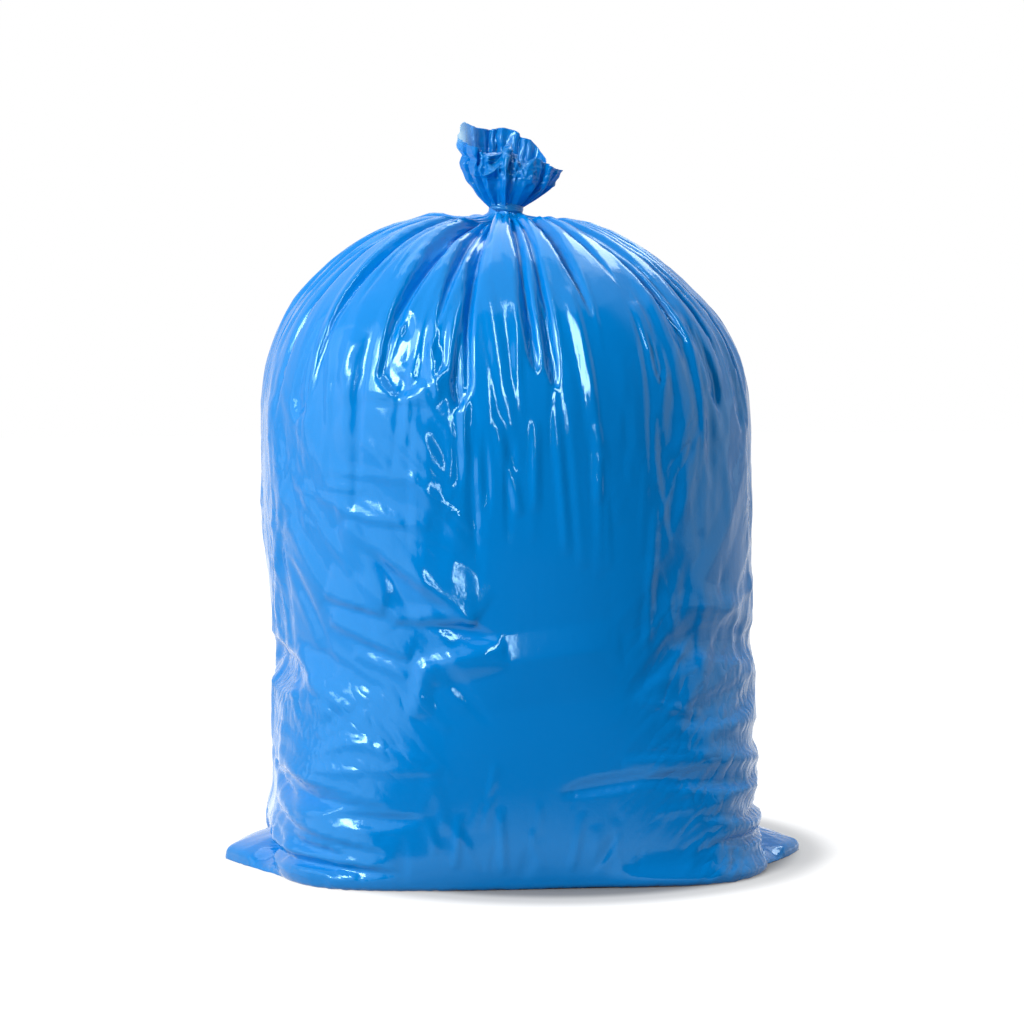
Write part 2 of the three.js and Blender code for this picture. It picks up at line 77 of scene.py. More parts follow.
CORNER_SLIT_RISE = 0.010
CORNER_START = 0.215  # the corners bend to the front from here
CORNER_LEVEL = 0.020
CORNER_FORWARD = (0.040, 0.020)
CORNER_TRIALS = 400
NECK_SHIFT = -0.005
NECK_TILT = 10
NECK_RADIUS = 0.0135
NECK_TOP = 0.630
NECK_STEEPNESS = 3
TIE_HEIGHT = 0.012
TIE_MIDDLE = (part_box("neck_tie")[0][2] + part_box("neck_tie")[1][2]) / 2

# The film's net: columns run up the bag and rows run round it.
COLUMNS = 424
BASE_ROWS = 4
FOOT_ROWS = 20
WALL_ROWS = 122
DOME_ROWS = 78
NECK_ROWS = 9
FRONT_CROWDING = 0.42
FINE_GRID = 4096
TINY = 1e-9

# Gathers at the neck: azimuth, length, depth, half width to the left and right, swing of the tip.
GATHERS = [
    (176, 360, 7, 8, 8, -3),
    (184, 300, 6, 7, 7, -2),
    (192, 320, 11, 12, 4, -4),
    (200, 280, 7, 7, 7, -6),
    (209, 340, 13, 13, 5, -11),
    (218, 320, 13, 10, 12, -5),
    (226, 220, 7, 7, 7, -6),
    (239, 292, 24, 17, 20, -8),
    (249, 250, 18, 12, 13, -5),
    (252.5, 305, 17, 16, 10, 0),
    (262, 100, 8, 5, 5, 0),
    (267, 285, 10, 8, 9, 4),
    (273, 285, 8, 7, 8, 3),
    (279, 228, 20, 6, 22, 9),
    (293, 190, 10, 9, 9, 8),
    (302, 268, 17, 5, 20, 13),
    (311, 240, 9, 7, 8, 6),
    (316, 290, 14, 4, 16, 11),
    (326, 270, 8, 7, 8, 4),
    (332, 360, 13, 4, 14, 4),
    (343, 300, 7, 7, 7, 0),
    (350, 380, 9, 8, 8, 2),
    (6, 280, 13, 9, 12, 2),
    (13, 400, 9, 8, 8, -2),
    (25, 300, 20, 18, 8, 3),
    (32, 220, 8, 7, 7, 0),
    (47, 360, 16, 9, 12, -3),
    (60, 280, 22, 8, 22, 2),
    (68, 400, 10, 8, 8, 0),
    (80, 310, 17, 13, 10, -2),
    (95, 380, 22, 22, 8, 3),
    (102, 220, 8, 7, 7, 0),
    (118, 340, 17, 10, 14, -3),
    (131, 290, 21, 8, 20, 2),
    (139, 410, 10, 8, 8, 0),
    (150, 280, 16, 12, 9, -2),
    (159, 400, 11, 8, 9, 0),
    (168, 300, 12, 9, 9, -2),
]
GATHER_ONSET = 85  # distance from the neck at which a gather has its full depth
GATHER_WAIST = 0.25  # share of its width at the neck
GATHER_SPREAD = 160
GATHER_TAPER = 1.6
GATHER_TIP = 0.1  # share of its width at its lower end
GATHER_LIMIT = 450  # no gather reaches further

# Ridges: (azimuth, height) of both ends, height of the crest, half width on the lower and upper side.
RIDGES = [
    ((224, 510), (221, 466), 2.6, 22, 12),
    ((225, 480), (223, 446), 1.8, 16, 8),
    ((226, 457), (246, 450), 3.2, 8, 16),
    ((243, 506), (246, 450), 4.5, 6, 10),
    ((236, 481), (244, 455), 3.5, 6, 18),
    ((283.5, 562), (286, 405), 2.4, 12, 5),
    ((303, 548), (304, 466), 4, 9, 6),
    ((260, 430), (266, 345), 2.2, 7, 7),
    ((270, 430), (270, 350), 1.8, 6, 6),
    ((275, 440), (278, 310), 2.2, 7, 7),
    ((286, 430), (286, 355), 1.8, 7, 7),
    ((251, 70), (250, 18), 1.5, 6, 6),
    ((261, 75), (262, 10), 1.5, 6, 6),
    ((244, 66), (246, 34), 1.2, 6, 6),
    ((196, 450), (206, 322), 4.5, 34, 14),
    ((205, 336), (218, 266), 4.5, 26, 12),
    ((211, 436), (223, 338), 4, 22, 20),
    ((217, 269), (233, 255), 5, 6, 34),
    ((221, 346), (244, 335), 2.2, 6, 18),
    ((218, 384), (241, 376), 1.4, 5, 9),
    ((219, 370), (228, 366), 1.4, 4, 8),
    ((221, 430), (249, 346), 3, 22, 14),
    ((229, 448), (249, 360), 2.8, 18, 13),
    ((237, 442), (249, 376), 2.4, 10, 8),
    ((223, 338), (255, 247), 6, 10, 36),
    ((223, 338), (237, 246), 3.6, 30, 13),
    ((235, 251), (255, 247), 4, 6, 14),
    ((240, 204), (262, 226), 4.2, 22, 12),
    ((218, 246), (239, 215), 4.8, 7, 22),
    ((225, 216), (239, 197), 2.2, 6, 10),
    ((242, 210), (241, 160), 3.4, 12, 16),
    ((206, 216), (221, 158), 4.2, 22, 16),
    ((212, 190), (226, 164), 2.6, 8, 14),
    ((241, 202), (292, 224), 2.8, 45, 26),
    ((211, 47), (227, 37), 2.2, 6, 5),
    ((206, 12), (230, 7), 8, 4, 5),
    ((30, 370), (60, 290), 6, 16, 26),
    ((120, 330), (160, 250), 6, 16, 26),
]

# Scoops: lens-shaped hollows with a crisp rim, given as the ridges are. A negative depth is a bulge.
SCOOPS = [
    ((256.5, 585), (265.5, 390), -1.1, 9, 9),
    ((234, 540), (237, 508), 3, 7, 7),
    ((268, 600), (270, 488), 4, 8, 8),
    ((274, 600), (276, 466), 4, 8, 8),
    ((253, 440), (255, 300), 1.8, 6, 6),
    ((257, 430), (258, 340), 1.6, 5, 5),
    ((250, 430), (251, 370), 1.6, 5, 5),
    ((241, 250), (261, 232), 4.5, 10, 10),
    ((168, 200), (212, 190), 15, 26, 24),
    ((186, 102), (228, 86), 7.5, 26, 6),
    ((206, 88), (236, 76), 3.2, 14, 4),
    ((192, 94), (214, 74), 3.5, 9, 4),
    ((190, 66), (236, 34), 6.5, 26, 6),
    ((221, 68), (243, 67), 3.3, 11, 5),
    ((210, 41), (228, 30), 2.8, 8, 6),
    ((304, 226), (352, 208), 5.5, 18, 22),
    ((302, 152), (344, 172), 5, 16, 20),
    ((312, 130), (356, 116), 5.5, 14, 18),
    ((296, 98), (346, 88), 6.5, 10, 16),
    ((276, 88), (300, 100), 3, 6, 12),
    ((311, 36), (346, 36), 6, 8, 10),
    ((318, 52), (352, 58), 4, 6, 8),
    ((308, 62), (384, 56), 10, 10, 26),
    ((186, 18), (238, 12), 12, 10, 14),
    ((66, 345), (114, 236), 7, 28, 18),
    ((24, 260), (88, 205), 11, 26, 30),
    ((16, 100), (80, 62), 10, 18, 22),
    ((94, 170), (164, 120), 10, 22, 28),
    ((84, 66), (154, 44), 9, 14, 18),
]

# Tongues: hollows that deepen to a blunt lower end: (azimuth, height) of both ends, depth, half width.
TONGUES = [
    ((241, 580), (236, 452), 6, 30),
    ((253, 600), (251, 442), 6, 13),
    ((247, 560), (245, 470), 3, 10),
    ((268, 600), (270.5, 478), 3.5, 8),
    ((272, 590), (275.5, 462), 4, 8),
    ((303, 560), (304, 464), 3.5, 7),
    ((212, 560), (208, 430), 4, 14),
    ((318, 560), (322, 440), 4, 12),
    ((330, 560), (333, 420), 4, 12),
    ((46, 570), (42, 430), 6, 24),
    ((80, 570), (80, 440), 6, 18),
    ((104, 570), (108, 420), 6, 26),
    ((146, 570), (142, 440), 6, 20),
]
TONGUE_TOP = 0.2  # share of the width at the upper end
TONGUE_LEAST = 0.1
TONGUE_FULL = 0.8  # share of the length at which the depth is full
TONGUE_END = 0.16
TONGUE_STEEPNESS = 3

# Strewn folds: how many, azimuths, heights, slant and its spread, lengths, crest heights, slimness.
STREWN = [
    (44, (200, 250), (140, 460), -50, 14, (50, 160), (0.5, 2), 0.06),
    (36, (168, 202), (100, 520), 88, 12, (60, 200), (1, 3), 0.07),
    (46, (298, 352), (200, 480), 76, 22, (50, 180), (0.8, 3), 0.10),
    (44, (298, 352), (50, 260), 2, 18, (30, 120), (0.8, 3.2), 0.12),
    (30, (186, 238), (30, 180), -14, 12, (30, 110), (0.8, 2.6), 0.11),
    (34, (236, 326), (10, 90), 90, 15, (30, 70), (0.5, 1.5), 0.14),
    (190, (0, 360), (420, 720), 90, 4, (80, 300), (0.8, 3), 0.035),
    (36, (238, 332), (320, 520), 90, 7, (80, 200), (0.6, 1.8), 0.07),
    (110, (8, 172), (30, 460), 60, 80, (50, 180), (1, 4), 0.14),
]
STREWN_SEED = 17
RIDGE_SHARE = 0.6  # the other strewn folds are scoops
SIZE_BIAS = 1.5  # above 1, more of the folds are small
CREST_SHARES = (0.5, 1.0)
FLANK_SHARES = (0.4, 1.6)

# Lines that strewn folds keep away from: both ends and the half width.
CALM_LINES = [
    ((255, 600), (265, 395), 22),
    ((282, 600), (286, 395), 22),
]
CALM_FADE = 0.15
CALM_DEPTH = 0.9
CALM_STEEPNESS = 1.6

# Folds show from this height up, so that the base stays flat.
FORM_START = 0.004
FORM_RISE = 0.020

# Silhouette: the left side is slack, the right side is drawn in, and the film lies high round the neck.
LEFT_SLACK = 0.011
LEFT_SLACK_TOP = 0.360
LEFT_SLACK_FADE = 0.190
LEFT_SLACK_FOOT = 0.020
LEFT_SLACK_RISE = 0.050
RIGHT_TUCK = 0.008
TUCK_AZIMUTH = 353
TUCK_SPREAD = 85
TUCK_ONSET = 0.12  # distance from the neck at which the tuck is full
SHOULDER_TUCK = 0.004
SHOULDER_MIDDLE = 0.58  # height along the film
SHOULDER_SPREAD = 0.12
CROWN_LIFT = (0.007, 0.0072)
CROWN_START = 0.035
CROWN_RISE = 0.035
CROWN_REACH = 0.20
CROWN_FADE = 0.12

# Zones of loose film: azimuth and reach, lowest height and the fade above it, greatest and the fade below.
LEFT_ZONE = (216, 62, 0.14, 0.10, 0.50, 0.10)
RIGHT_ZONE = (322, 52, 0.08, 0.10, 0.46, 0.12)
BACK_ZONE = (90, 95, 0.05, 0.10, 0.50, 0.10)
LOW_AZIMUTHS = (198, 336)
LOW_SPREAD = 60
LOW_TOP = 0.24
LOW_FADE = 0.14
FOOT_TOP = 0.09
FOOT_FADE = 0.06
DOME_FADE = 0.06

# How much longer the film is than its mould: everywhere, and more in patches of each zone.
LEAST_SLACK = 1.001
SLACK_UP = {"left": 0.004, "right": 0.008, "low": 0.012, "back": 0.012}
SLACK_ROUND = {"left": 0.003, "right": 0.007, "dome": 0.008, "foot": 0.010, "back": 0.010}
SLACK_SHEAR = {"left": 0.004, "right": -0.007}
PATCH_CELLS = (12, 18)
PATCH_SEED = 11
ROUGH_DEPTH = 0.0003  # of the noise that the film starts with
ROUGH_CELLS = (110, 220)
ROUGH_SEED = 7

# How the film settles.
FILM_ROUNDS = 160
FILM_SWELL = 3e-6
FILM_STIFFNESS = 0.006
FILM_PLAY = 0.0008  # it may move this far either way
LOOSE_PLAY_IN = 0.003  # and this much further where it is loose
LOOSE_PLAY_OUT = 0.002
HELD_HEIGHT = 0.04  # the flat corners stay as they are: below this height
HELD_START = 0.19  # and further out than this
MOTION_KEPT = 0.9
SLANT_FIRMNESS = 0.5


def smooth(x):
    x = np.clip(x, 0, 1)
    return x * x * (3 - 2 * x)


def mix(a, b, t):
    return a + (b - a) * t


def hat(distance, reach):
    """1 at no distance, falling straight to 0 a reach away."""
    return np.clip(1 - np.abs(distance) / reach, 0, 1)


def near(azimuth, centre, reach):
    """1 at an azimuth, falling smoothly to 0 a reach away."""
    return smooth(1 - np.abs((azimuth - centre + 180) % 360 - 180) / reach)


def for_side(x, pair):
    """The first of a pair on the right side, the second on the left."""
    return np.where(x > 0, *pair)


def section_radius(angle, height):
    """Distance from the body's middle to its side."""
    power = mix(BASE_SQUARENESS, BODY_SQUARENESS, smooth(height / BASE_FADE))
    x = np.abs(np.cos(angle)) / HALF_WIDTH
    y = np.abs(np.sin(angle)) / HALF_DEPTH
    toe = near(np.degrees(angle), TOE_AZIMUTH, TOE_SPREAD) * (1 - smooth(height / TOE_HEIGHT))
    return (x**power + y**power) ** (-1 / power) + TOE_REACH * toe


def corner_radius(angle):
    """Distance to the straight edge of a flat corner, or 0 where there is none."""
    trial = np.linspace(0, math.pi / 2, CORNER_TRIALS)
    base = section_radius(trial, 0.0) - FOOT_INSET
    slopes = base * np.sin(trial) / (CORNER_TIP - base * np.cos(trial))
    best = int(np.argmax(slopes))
    x, y = np.abs(np.cos(angle)), np.abs(np.sin(angle))
    edge = CORNER_TIP * slopes[best] / (slopes[best] * x + y)
    return np.where(np.arctan2(y, x) < trial[best], edge, 0.0)


def column_angles(count):
    """Azimuths that divide the body's girth, closer together at the front."""
    angle = np.linspace(0, 2 * math.pi, FINE_GRID)
    radius = section_radius(angle, SHOULDER)
    steps = np.hypot(np.diff(radius * np.cos(angle)), np.diff(radius * np.sin(angle)))
    steps *= 1 - FRONT_CROWDING * np.sin(angle[1:])
    girth = np.concatenate([[0], np.cumsum(steps)])
    return np.interp(np.arange(count) / count * girth[-1], girth, angle)


def ring(radius, angle, height, shift=0.0):
    height = np.broadcast_to(height, angle.shape)
    return np.stack([radius * np.cos(angle) + shift, radius * np.sin(angle), height])


def foot_ring(angle, corner, share):
    """A ring of the rounded foot and its flat corners, at a share of the way up."""
    height = FOOT_HEIGHT * share**FOOT_CROWDING
    bulge = 1 - math.sqrt(1 - (1 - share) ** 2)
    side = section_radius(angle, height) - FOOT_INSET * bulge
    beyond = np.maximum(0, corner - side)
    rise = for_side(np.cos(angle), CORNER_RISE)
    crease = mix(CORNER_THICKNESS, rise, smooth(beyond / CORNER_SPREAD))
    flap = np.clip(1 - (height / crease) ** CORNER_ROUNDNESS, 0, 1)
    groove = CORNER_GROOVE * smooth(beyond / CORNER_GROOVE_START) * hat(height - crease, CORNER_GROOVE_WIDTH)
    slit = CORNER_SLIT * hat(beyond - CORNER_SLIT_PLACE, CORNER_SLIT_WIDTH)
    slit = slit * smooth(height / CORNER_SLIT_RISE)
    return ring(side + beyond * flap - groove - slit, angle, height)


def dome_ring(angle, share):
    lift = math.radians(DOME_SWEEP * share)
    across, up = np.cos(lift) ** (2 / BODY_SQUARENESS), np.sin(lift) ** (2 / BODY_SQUARENESS)
    return ring(section_radius(angle, SHOULDER) * across, angle, SHOULDER + DOME_HEIGHT * up, NECK_SHIFT * up)


def neck_ring(angle, rim, share):
    """A ring between the dome's rim and the tilted throat under the band."""
    lean = math.tan(math.radians(NECK_TILT))
    throat = ring(NECK_RADIUS, angle, NECK_TOP - lean * NECK_RADIUS * np.cos(angle), NECK_SHIFT)
    row = mix(rim, throat, 1 - (1 - share) ** 2)
    row[2] = mix(rim[2], throat[2], share**NECK_STEEPNESS)
    return row


def mould_rows(angle):
    """The mould's rings from the middle of the base to the neck."""
    corner = corner_radius(angle)
    edge = corner * (1 - CORNER_THICKNESS / (2 * CORNER_TIP))
    base = np.maximum(section_radius(angle, 0.0) - FOOT_INSET, edge)
    rows = [ring(base * n / BASE_ROWS, angle, 0.0) for n in range(1, BASE_ROWS + 1)]
    rows += [foot_ring(angle, corner, n / FOOT_ROWS) for n in range(1, FOOT_ROWS)]
    for n in range(WALL_ROWS):
        height = mix(FOOT_HEIGHT, SHOULDER, n / WALL_ROWS)
        rows.append(ring(section_radius(angle, height), angle, height))
    rows += [dome_ring(angle, n / (DOME_ROWS - 1)) for n in range(DOME_ROWS)]
    rim = rows[-1]
    rows += [neck_ring(angle, rim, n / NECK_ROWS) for n in range(1, NECK_ROWS + 1)]
    mould = np.stack(rows, axis=1)
    outer = smooth((np.abs(mould[0]) - CORNER_START) / (CORNER_TIP - CORNER_START))
    low = 1 - smooth((mould[2] - for_side(mould[0], CORNER_RISE)) / CORNER_LEVEL)
    mould[1] -= for_side(mould[0], CORNER_FORWARD) * outer * low
    return mould


def normals(points):
    """Outward normals of a net, by the differences between neighbours."""
    round_ = np.roll(points, -1, axis=2) - np.roll(points, 1, axis=2)
    up = np.gradient(points, axis=1)
    normal = np.cross(round_, up, axis=0)
    return normal / np.maximum(np.linalg.norm(normal, axis=0), TINY)


def along_line(place, line):
    """Where each point lies on a fold: the share along it, and the distance aside over its half width."""
    azimuth, up, radius = place
    (az0, up0), (az1, up1), _, below, above = line
    x = np.radians((azimuth - az0 + 180) % 360 - 180) * radius
    y = up - up0
    run_x, run_y = math.radians(az1 - az0) * radius, up1 - up0
    length = np.hypot(run_x, run_y)
    along = (x * run_x + y * run_y) / length**2
    aside = (y * run_x - x * run_y) / length
    return along, np.abs(aside) / np.where(aside > 0, above, below)


def ridge_push(place, ridge):
    """How far a ridge pushes the film out, with a sharp crest."""
    along, aside = along_line(place, ridge)
    ends = np.sqrt(np.clip(4 * along * (1 - along), 0, 1))
    return ridge[2] * np.clip(1 - aside, 0, 1) * ends


def scoop_push(place, scoop):
    """How far a scoop pushes the film, with a round bottom and sharp rims."""
    along, aside = along_line(place, scoop)
    ends = np.clip(4 * along * (1 - along), 0, 1)
    return -scoop[2] * np.clip(ends - aside**2, 0, 1)


def tongue_push(place, tongue):
    """How far a tongue pushes the film, with steep walls and a blunt end."""
    start, end, depth, half = tongue
    along, aside = along_line(place, (start, end, depth, half, half))
    aside = aside / np.clip(mix(TONGUE_TOP, 1, along), TONGUE_LEAST, 1)
    blunt = np.sqrt(np.clip((1 - along) / TONGUE_END, 0, 1))
    walls = np.clip(TONGUE_STEEPNESS * (blunt - aside), 0, 1)
    return -depth * smooth(along / TONGUE_FULL) * walls


def calm_share(place):
    """How much of the strewn folds is left at each point."""
    left = np.ones_like(place[0])
    for start, end, half in CALM_LINES:
        along, aside = along_line(place, (start, end, 0, half, half))
        ends = smooth(along / CALM_FADE) * smooth((1 - along) / CALM_FADE)
        left = np.minimum(left, 1 - CALM_DEPTH * ends * smooth(CALM_STEEPNESS * (1 - aside)))
    return left


def strewn_push(place):
    """The push of many small folds, strewn by a seeded random number."""
    azimuth, up, radius = place
    chance = np.random.default_rng(STREWN_SEED)
    push = np.zeros_like(azimuth)
    level = up.mean(axis=1)
    for count, azimuths, heights, slant, spread, lengths, crests, slimness in STREWN:
        for _ in range(count):
            size = chance.uniform() ** SIZE_BIAS
            length = mix(*lengths, size)
            crest = mix(*crests, size) * chance.uniform(*CREST_SHARES)
            at, middle = chance.uniform(*azimuths), chance.uniform(*heights)
            angle = math.radians(slant + spread * chance.normal())
            below, above = length * slimness * chance.uniform(*FLANK_SHARES, 2)
            rise = 0.5 * length * math.sin(angle)
            near_rows = np.abs(level - middle) < abs(rise) + max(below, above)
            if not near_rows.any():
                continue
            part = (azimuth[near_rows], up[near_rows], radius[near_rows])
            swing = math.degrees(0.5 * length * math.cos(angle) / part[2].mean())
            fold = ((at - swing, middle - rise), (at + swing, middle + rise), crest, below, above)
            shape = ridge_push if chance.uniform() < RIDGE_SHARE else scoop_push
            push[near_rows] += shape(part, fold)
    return push


def fold_push(place):
    push = np.zeros_like(place[0])
    for folds, shape in ((RIDGES, ridge_push), (SCOOPS, scoop_push), (TONGUES, tongue_push)):
        for fold in folds:
            push += shape(place, fold)
    return push + strewn_push(place) * calm_share(place)


def gather_depths(azimuth, radius, distance):
    """Depth of the gathers at one ring, over azimuths. Each is a hollow between two crisp rims."""
    depth = np.zeros_like(azimuth)
    for at, reach, deep, left, right, swing in GATHERS:
        share = distance / reach
        if share >= 1:
            continue
        away = np.radians((azimuth - at - swing * share + 180) % 360 - 180) * radius
        taper = 1 - share**GATHER_TAPER
        opening = min(1.0, GATHER_WAIST + distance / GATHER_SPREAD)
        width = np.where(away > 0, right, left) * opening * mix(GATHER_TIP, 1, taper)
        shape = np.clip(1 - (away / width) ** 2, 0, 1)
        depth = np.maximum(depth, deep * min(1.0, distance / GATHER_ONSET) * taper * shape)
    return depth


def cell_borders(valleys):
    """Azimuths halfway between neighbouring valleys, once round."""
    halves = (valleys + np.roll(valleys, 1)) / 2
    halves[0] -= 180
    return np.append(halves, halves[0] + 360)


def resample(points, at, azimuth):
    """Points of a closed ring at other azimuths."""
    three = np.concatenate([at - 360, at, at + 360])
    return np.stack([np.interp(azimuth, three, np.tile(line, 3)) for line in points])


def crowd_gathers(mould, angle, distance, radii):
    """Crowds the points of each ring into its gathers, in place, and returns their azimuths."""
    gathers = sorted(GATHERS, key=lambda gather: gather[0] + gather[5])
    at, reach, swing = (np.array([gather[n] for gather in gathers], float) for n in (0, 1, 5))
    tips = cell_borders(at + swing)
    cell = np.interp((np.degrees(angle) - tips[0]) % 360 + tips[0], tips, np.arange(len(tips)))
    around = np.tile(np.degrees(angle), (len(distance), 1))
    for row in np.flatnonzero(distance <= GATHER_LIMIT):
        borders = cell_borders(at + swing * np.minimum(1, distance[row] / reach))
        fine = np.linspace(borders[0], borders[-1], FINE_GRID)
        depth = gather_depths(fine, radii[row], distance[row])
        steps = np.hypot(np.diff(np.radians(fine)) * radii[row], np.diff(depth))
        path = np.concatenate([[0], np.cumsum(steps)])
        whole = np.interp(path, np.interp(borders, fine, path), np.arange(len(borders)))
        around[row] = np.interp(cell, whole, fine)
        mould[:, row] = resample(mould[:, row], np.degrees(angle), around[row])
    return around % 360


def outline_push(azimuth, up, height, upright, distance):
    """The push that shapes the silhouette: slack on the left, a tuck on the right and a full crown."""
    slack = LEFT_SLACK * smooth((LEFT_SLACK_TOP - height) / LEFT_SLACK_FADE)
    slack *= smooth((height - LEFT_SLACK_FOOT) / LEFT_SLACK_RISE)
    push = -slack * np.clip(-np.cos(np.radians(azimuth)), 0, 1) ** 2
    tuck = RIGHT_TUCK * upright + SHOULDER_TUCK * smooth(1 - np.abs(up - SHOULDER_MIDDLE) / SHOULDER_SPREAD)
    push -= tuck * near(azimuth, TUCK_AZIMUTH, TUCK_SPREAD) * smooth(distance / TUCK_ONSET)[:, None]
    crown = smooth((distance - CROWN_START) / CROWN_RISE) * smooth((CROWN_REACH - distance) / CROWN_FADE)
    return push + crown[:, None] * mix(*CROWN_LIFT, 0.5 - 0.5 * np.cos(np.radians(azimuth)))


def film_start():
    """The mould with the film crowded into its gathers, its normals, how far folds push it, and azimuths."""
    angle = column_angles(COLUMNS)
    mould = mould_rows(angle)
    steps = np.linalg.norm(np.diff(mould, axis=1), axis=0).mean(axis=1)
    distance = np.concatenate([np.cumsum(steps[::-1])[::-1], [0]])
    middle = (mould.max(axis=2) + mould.min(axis=2)) / 2
    radii = np.hypot(mould[0] - middle[0][:, None], mould[1] - middle[1][:, None]).mean(axis=1)
    azimuth = crowd_gathers(mould, angle, distance / MM, radii / MM)
    upright = smooth((mould[2] - FORM_START) / FORM_RISE)
    film_height = SHOULDER + distance[len(distance) - DOME_ROWS - NECK_ROWS] - distance
    up = np.broadcast_to(film_height[:, None], azimuth.shape)
    place = (azimuth, up / MM, np.broadcast_to(radii[:, None] / MM, azimuth.shape))
    push = MM * fold_push(place) * upright
    push += outline_push(azimuth, up, mould[2], upright, distance)
    for row in np.flatnonzero(distance / MM < GATHER_LIMIT):
        push[row] -= MM * gather_depths(azimuth[row], radii[row] / MM, distance[row] / MM)
    return mould, normals(mould), push, azimuth


class Net:
    """A net of film that keeps its lengths. Points are [axis, row, column], and the columns close."""

    def __init__(self, points, stretch_round, stretch_up, shear):
        stretch = (stretch_round + stretch_up) / 2
        self.points = points.astype(np.float32)
        self.round = self.lengths(0, 1) * stretch_round
        self.up = self.lengths(1, 0) * stretch_up[:-1]
        self.slant = self.lengths(1, 1) * (stretch + shear)[:-1]
        self.slope = self.lengths(1, -1) * (stretch - shear)[:-1]

    def lengths(self, down, across):
        """Distances from each point to the one a number of rows and columns further on."""
        far = np.roll(self.points, -across, axis=2)
        if down:
            return np.linalg.norm(far[:, down:] - self.points[:, :-down], axis=0)
        return np.linalg.norm(far - self.points, axis=0)

    def pull(self, rest, down, across, firmness, fold_only=False):
        """Moves pairs of points towards their rest distance, in two passes that share no point."""
        count = self.points.shape[1 if down else 2] - down
        for start in (0, 1):
            first = np.flatnonzero((np.arange(count) // (down or across)) % 2 == start)
            if down:
                here, there, turn = np.s_[:, first], np.s_[:, first + down], across
            else:
                here, there, turn = np.s_[:, :, first], np.s_[:, :, (first + across) % count], 0
            gap = np.roll(self.points[there], -turn, axis=2) - self.points[here]
            length = np.sqrt(np.einsum("irc,irc->rc", gap, gap)) + TINY
            strain = (length - rest[here[1:]]) / length
            if fold_only:
                strain = np.minimum(strain, 0)
            shift = gap * (0.5 * firmness * strain)
            self.points[here] += shift
            self.points[there] -= np.roll(shift, turn, axis=2)

    def relax(self, rounds, swell, stiffness, mould, outward, inner, outer, held):
        """Lets the film settle under a light swell, between two bounds along the mould's normals."""
        bend_round = self.round + np.roll(self.round, -1, axis=1)
        bend_up = self.up[:-1] + self.up[1:]
        kept = self.points[:, held].copy()
        before = self.points.copy()
        for _ in range(rounds):
            drift = MOTION_KEPT * (self.points - before)
            before = self.points.copy()
            self.points += drift + swell * normals(self.points).astype(np.float32)
            self.pull(self.round, 0, 1, 1.0)
            self.pull(self.up, 1, 0, 1.0)
            self.pull(self.slant, 1, 1, SLANT_FIRMNESS)
            self.pull(self.slope, 1, -1, SLANT_FIRMNESS)
            self.pull(bend_round, 0, 2, stiffness, fold_only=True)
            self.pull(bend_up, 2, 0, stiffness, fold_only=True)
            depth = np.einsum("irc,irc->rc", self.points - mould, outward)
            self.points += outward * (np.clip(depth, inner, outer) - depth)
            self.points[2] = np.maximum(self.points[2], 0)
            self.points[:, held] = kept


def scatter(shape, cells, seed):
    """Smooth noise from -1 to 1 over a net, with a number of cells up and round."""
    rows, columns = shape
    grid = np.random.default_rng(seed).uniform(-1, 1, (cells[0] + 2, cells[1]))
    y = np.linspace(0, cells[0], rows)
    x = np.arange(columns) / columns * cells[1]
    low, left = y.astype(int)[:, None], x.astype(int)[None, :]
    right = (left + 1) % cells[1]
    up, across = smooth(y[:, None] - low), smooth(x[None, :] - left)
    below = mix(grid[low, left], grid[low, right], across)
    above = mix(grid[low + 1, left], grid[low + 1, right], across)
    return mix(below, above, up)


def zone_share(azimuth, height, zone):
    """1 in a zone of the film, falling to 0 at its edges."""
    middle, reach, bottom, bottom_fade, top, top_fade = zone
    rise = smooth((height - bottom) / bottom_fade)
    return near(azimuth, middle, reach) * rise * smooth((top - height) / top_fade)


def film_zones(azimuth, height):
    low = np.maximum(*(near(azimuth, middle, LOW_SPREAD) for middle in LOW_AZIMUTHS))
    return {
        "left": zone_share(azimuth, height, LEFT_ZONE),
        "right": zone_share(azimuth, height, RIGHT_ZONE),
        "back": zone_share(azimuth, height, BACK_ZONE),
        "low": smooth((LOW_TOP - height) / LOW_FADE) * low,
        "foot": smooth((FOOT_TOP - height) / FOOT_FADE),
        "dome": smooth((height - SHOULDER) / DOME_FADE),
    }


def film_points():
    mould, outward, push, azimuth = film_start()
    shape = azimuth.shape
    zones = film_zones(azimuth, mould[2])
    loose = np.clip(zones["left"] + zones["right"] + zones["back"] + zones["low"], 0, 1)
    patches = np.clip(0.5 + scatter(shape, PATCH_CELLS, PATCH_SEED), 0, 1)
    extra_round, extra_up, shear = (
        patches * sum(amount * zones[name] for name, amount in amounts.items())
        for amounts in (SLACK_ROUND, SLACK_UP, SLACK_SHEAR)
    )
    start = mould + outward * (push + ROUGH_DEPTH * scatter(shape, ROUGH_CELLS, ROUGH_SEED))
    start[2] = np.maximum(start[2], 0)
    net = Net(start, LEAST_SLACK + extra_round, LEAST_SLACK + extra_up, shear)
    held = (mould[2] < HELD_HEIGHT) & (np.abs(mould[0]) > HELD_START)
    held[:BASE_ROWS - 1] = True
    held[-1] = True
    rounds = FILM_ROUNDS
    inner = push - FILM_PLAY - LOOSE_PLAY_IN * loose
    outer = push + FILM_PLAY + LOOSE_PLAY_OUT * loose
    net.relax(rounds, FILM_SWELL, FILM_STIFFNESS, mould, outward, inner, outer, held)
    return net.points


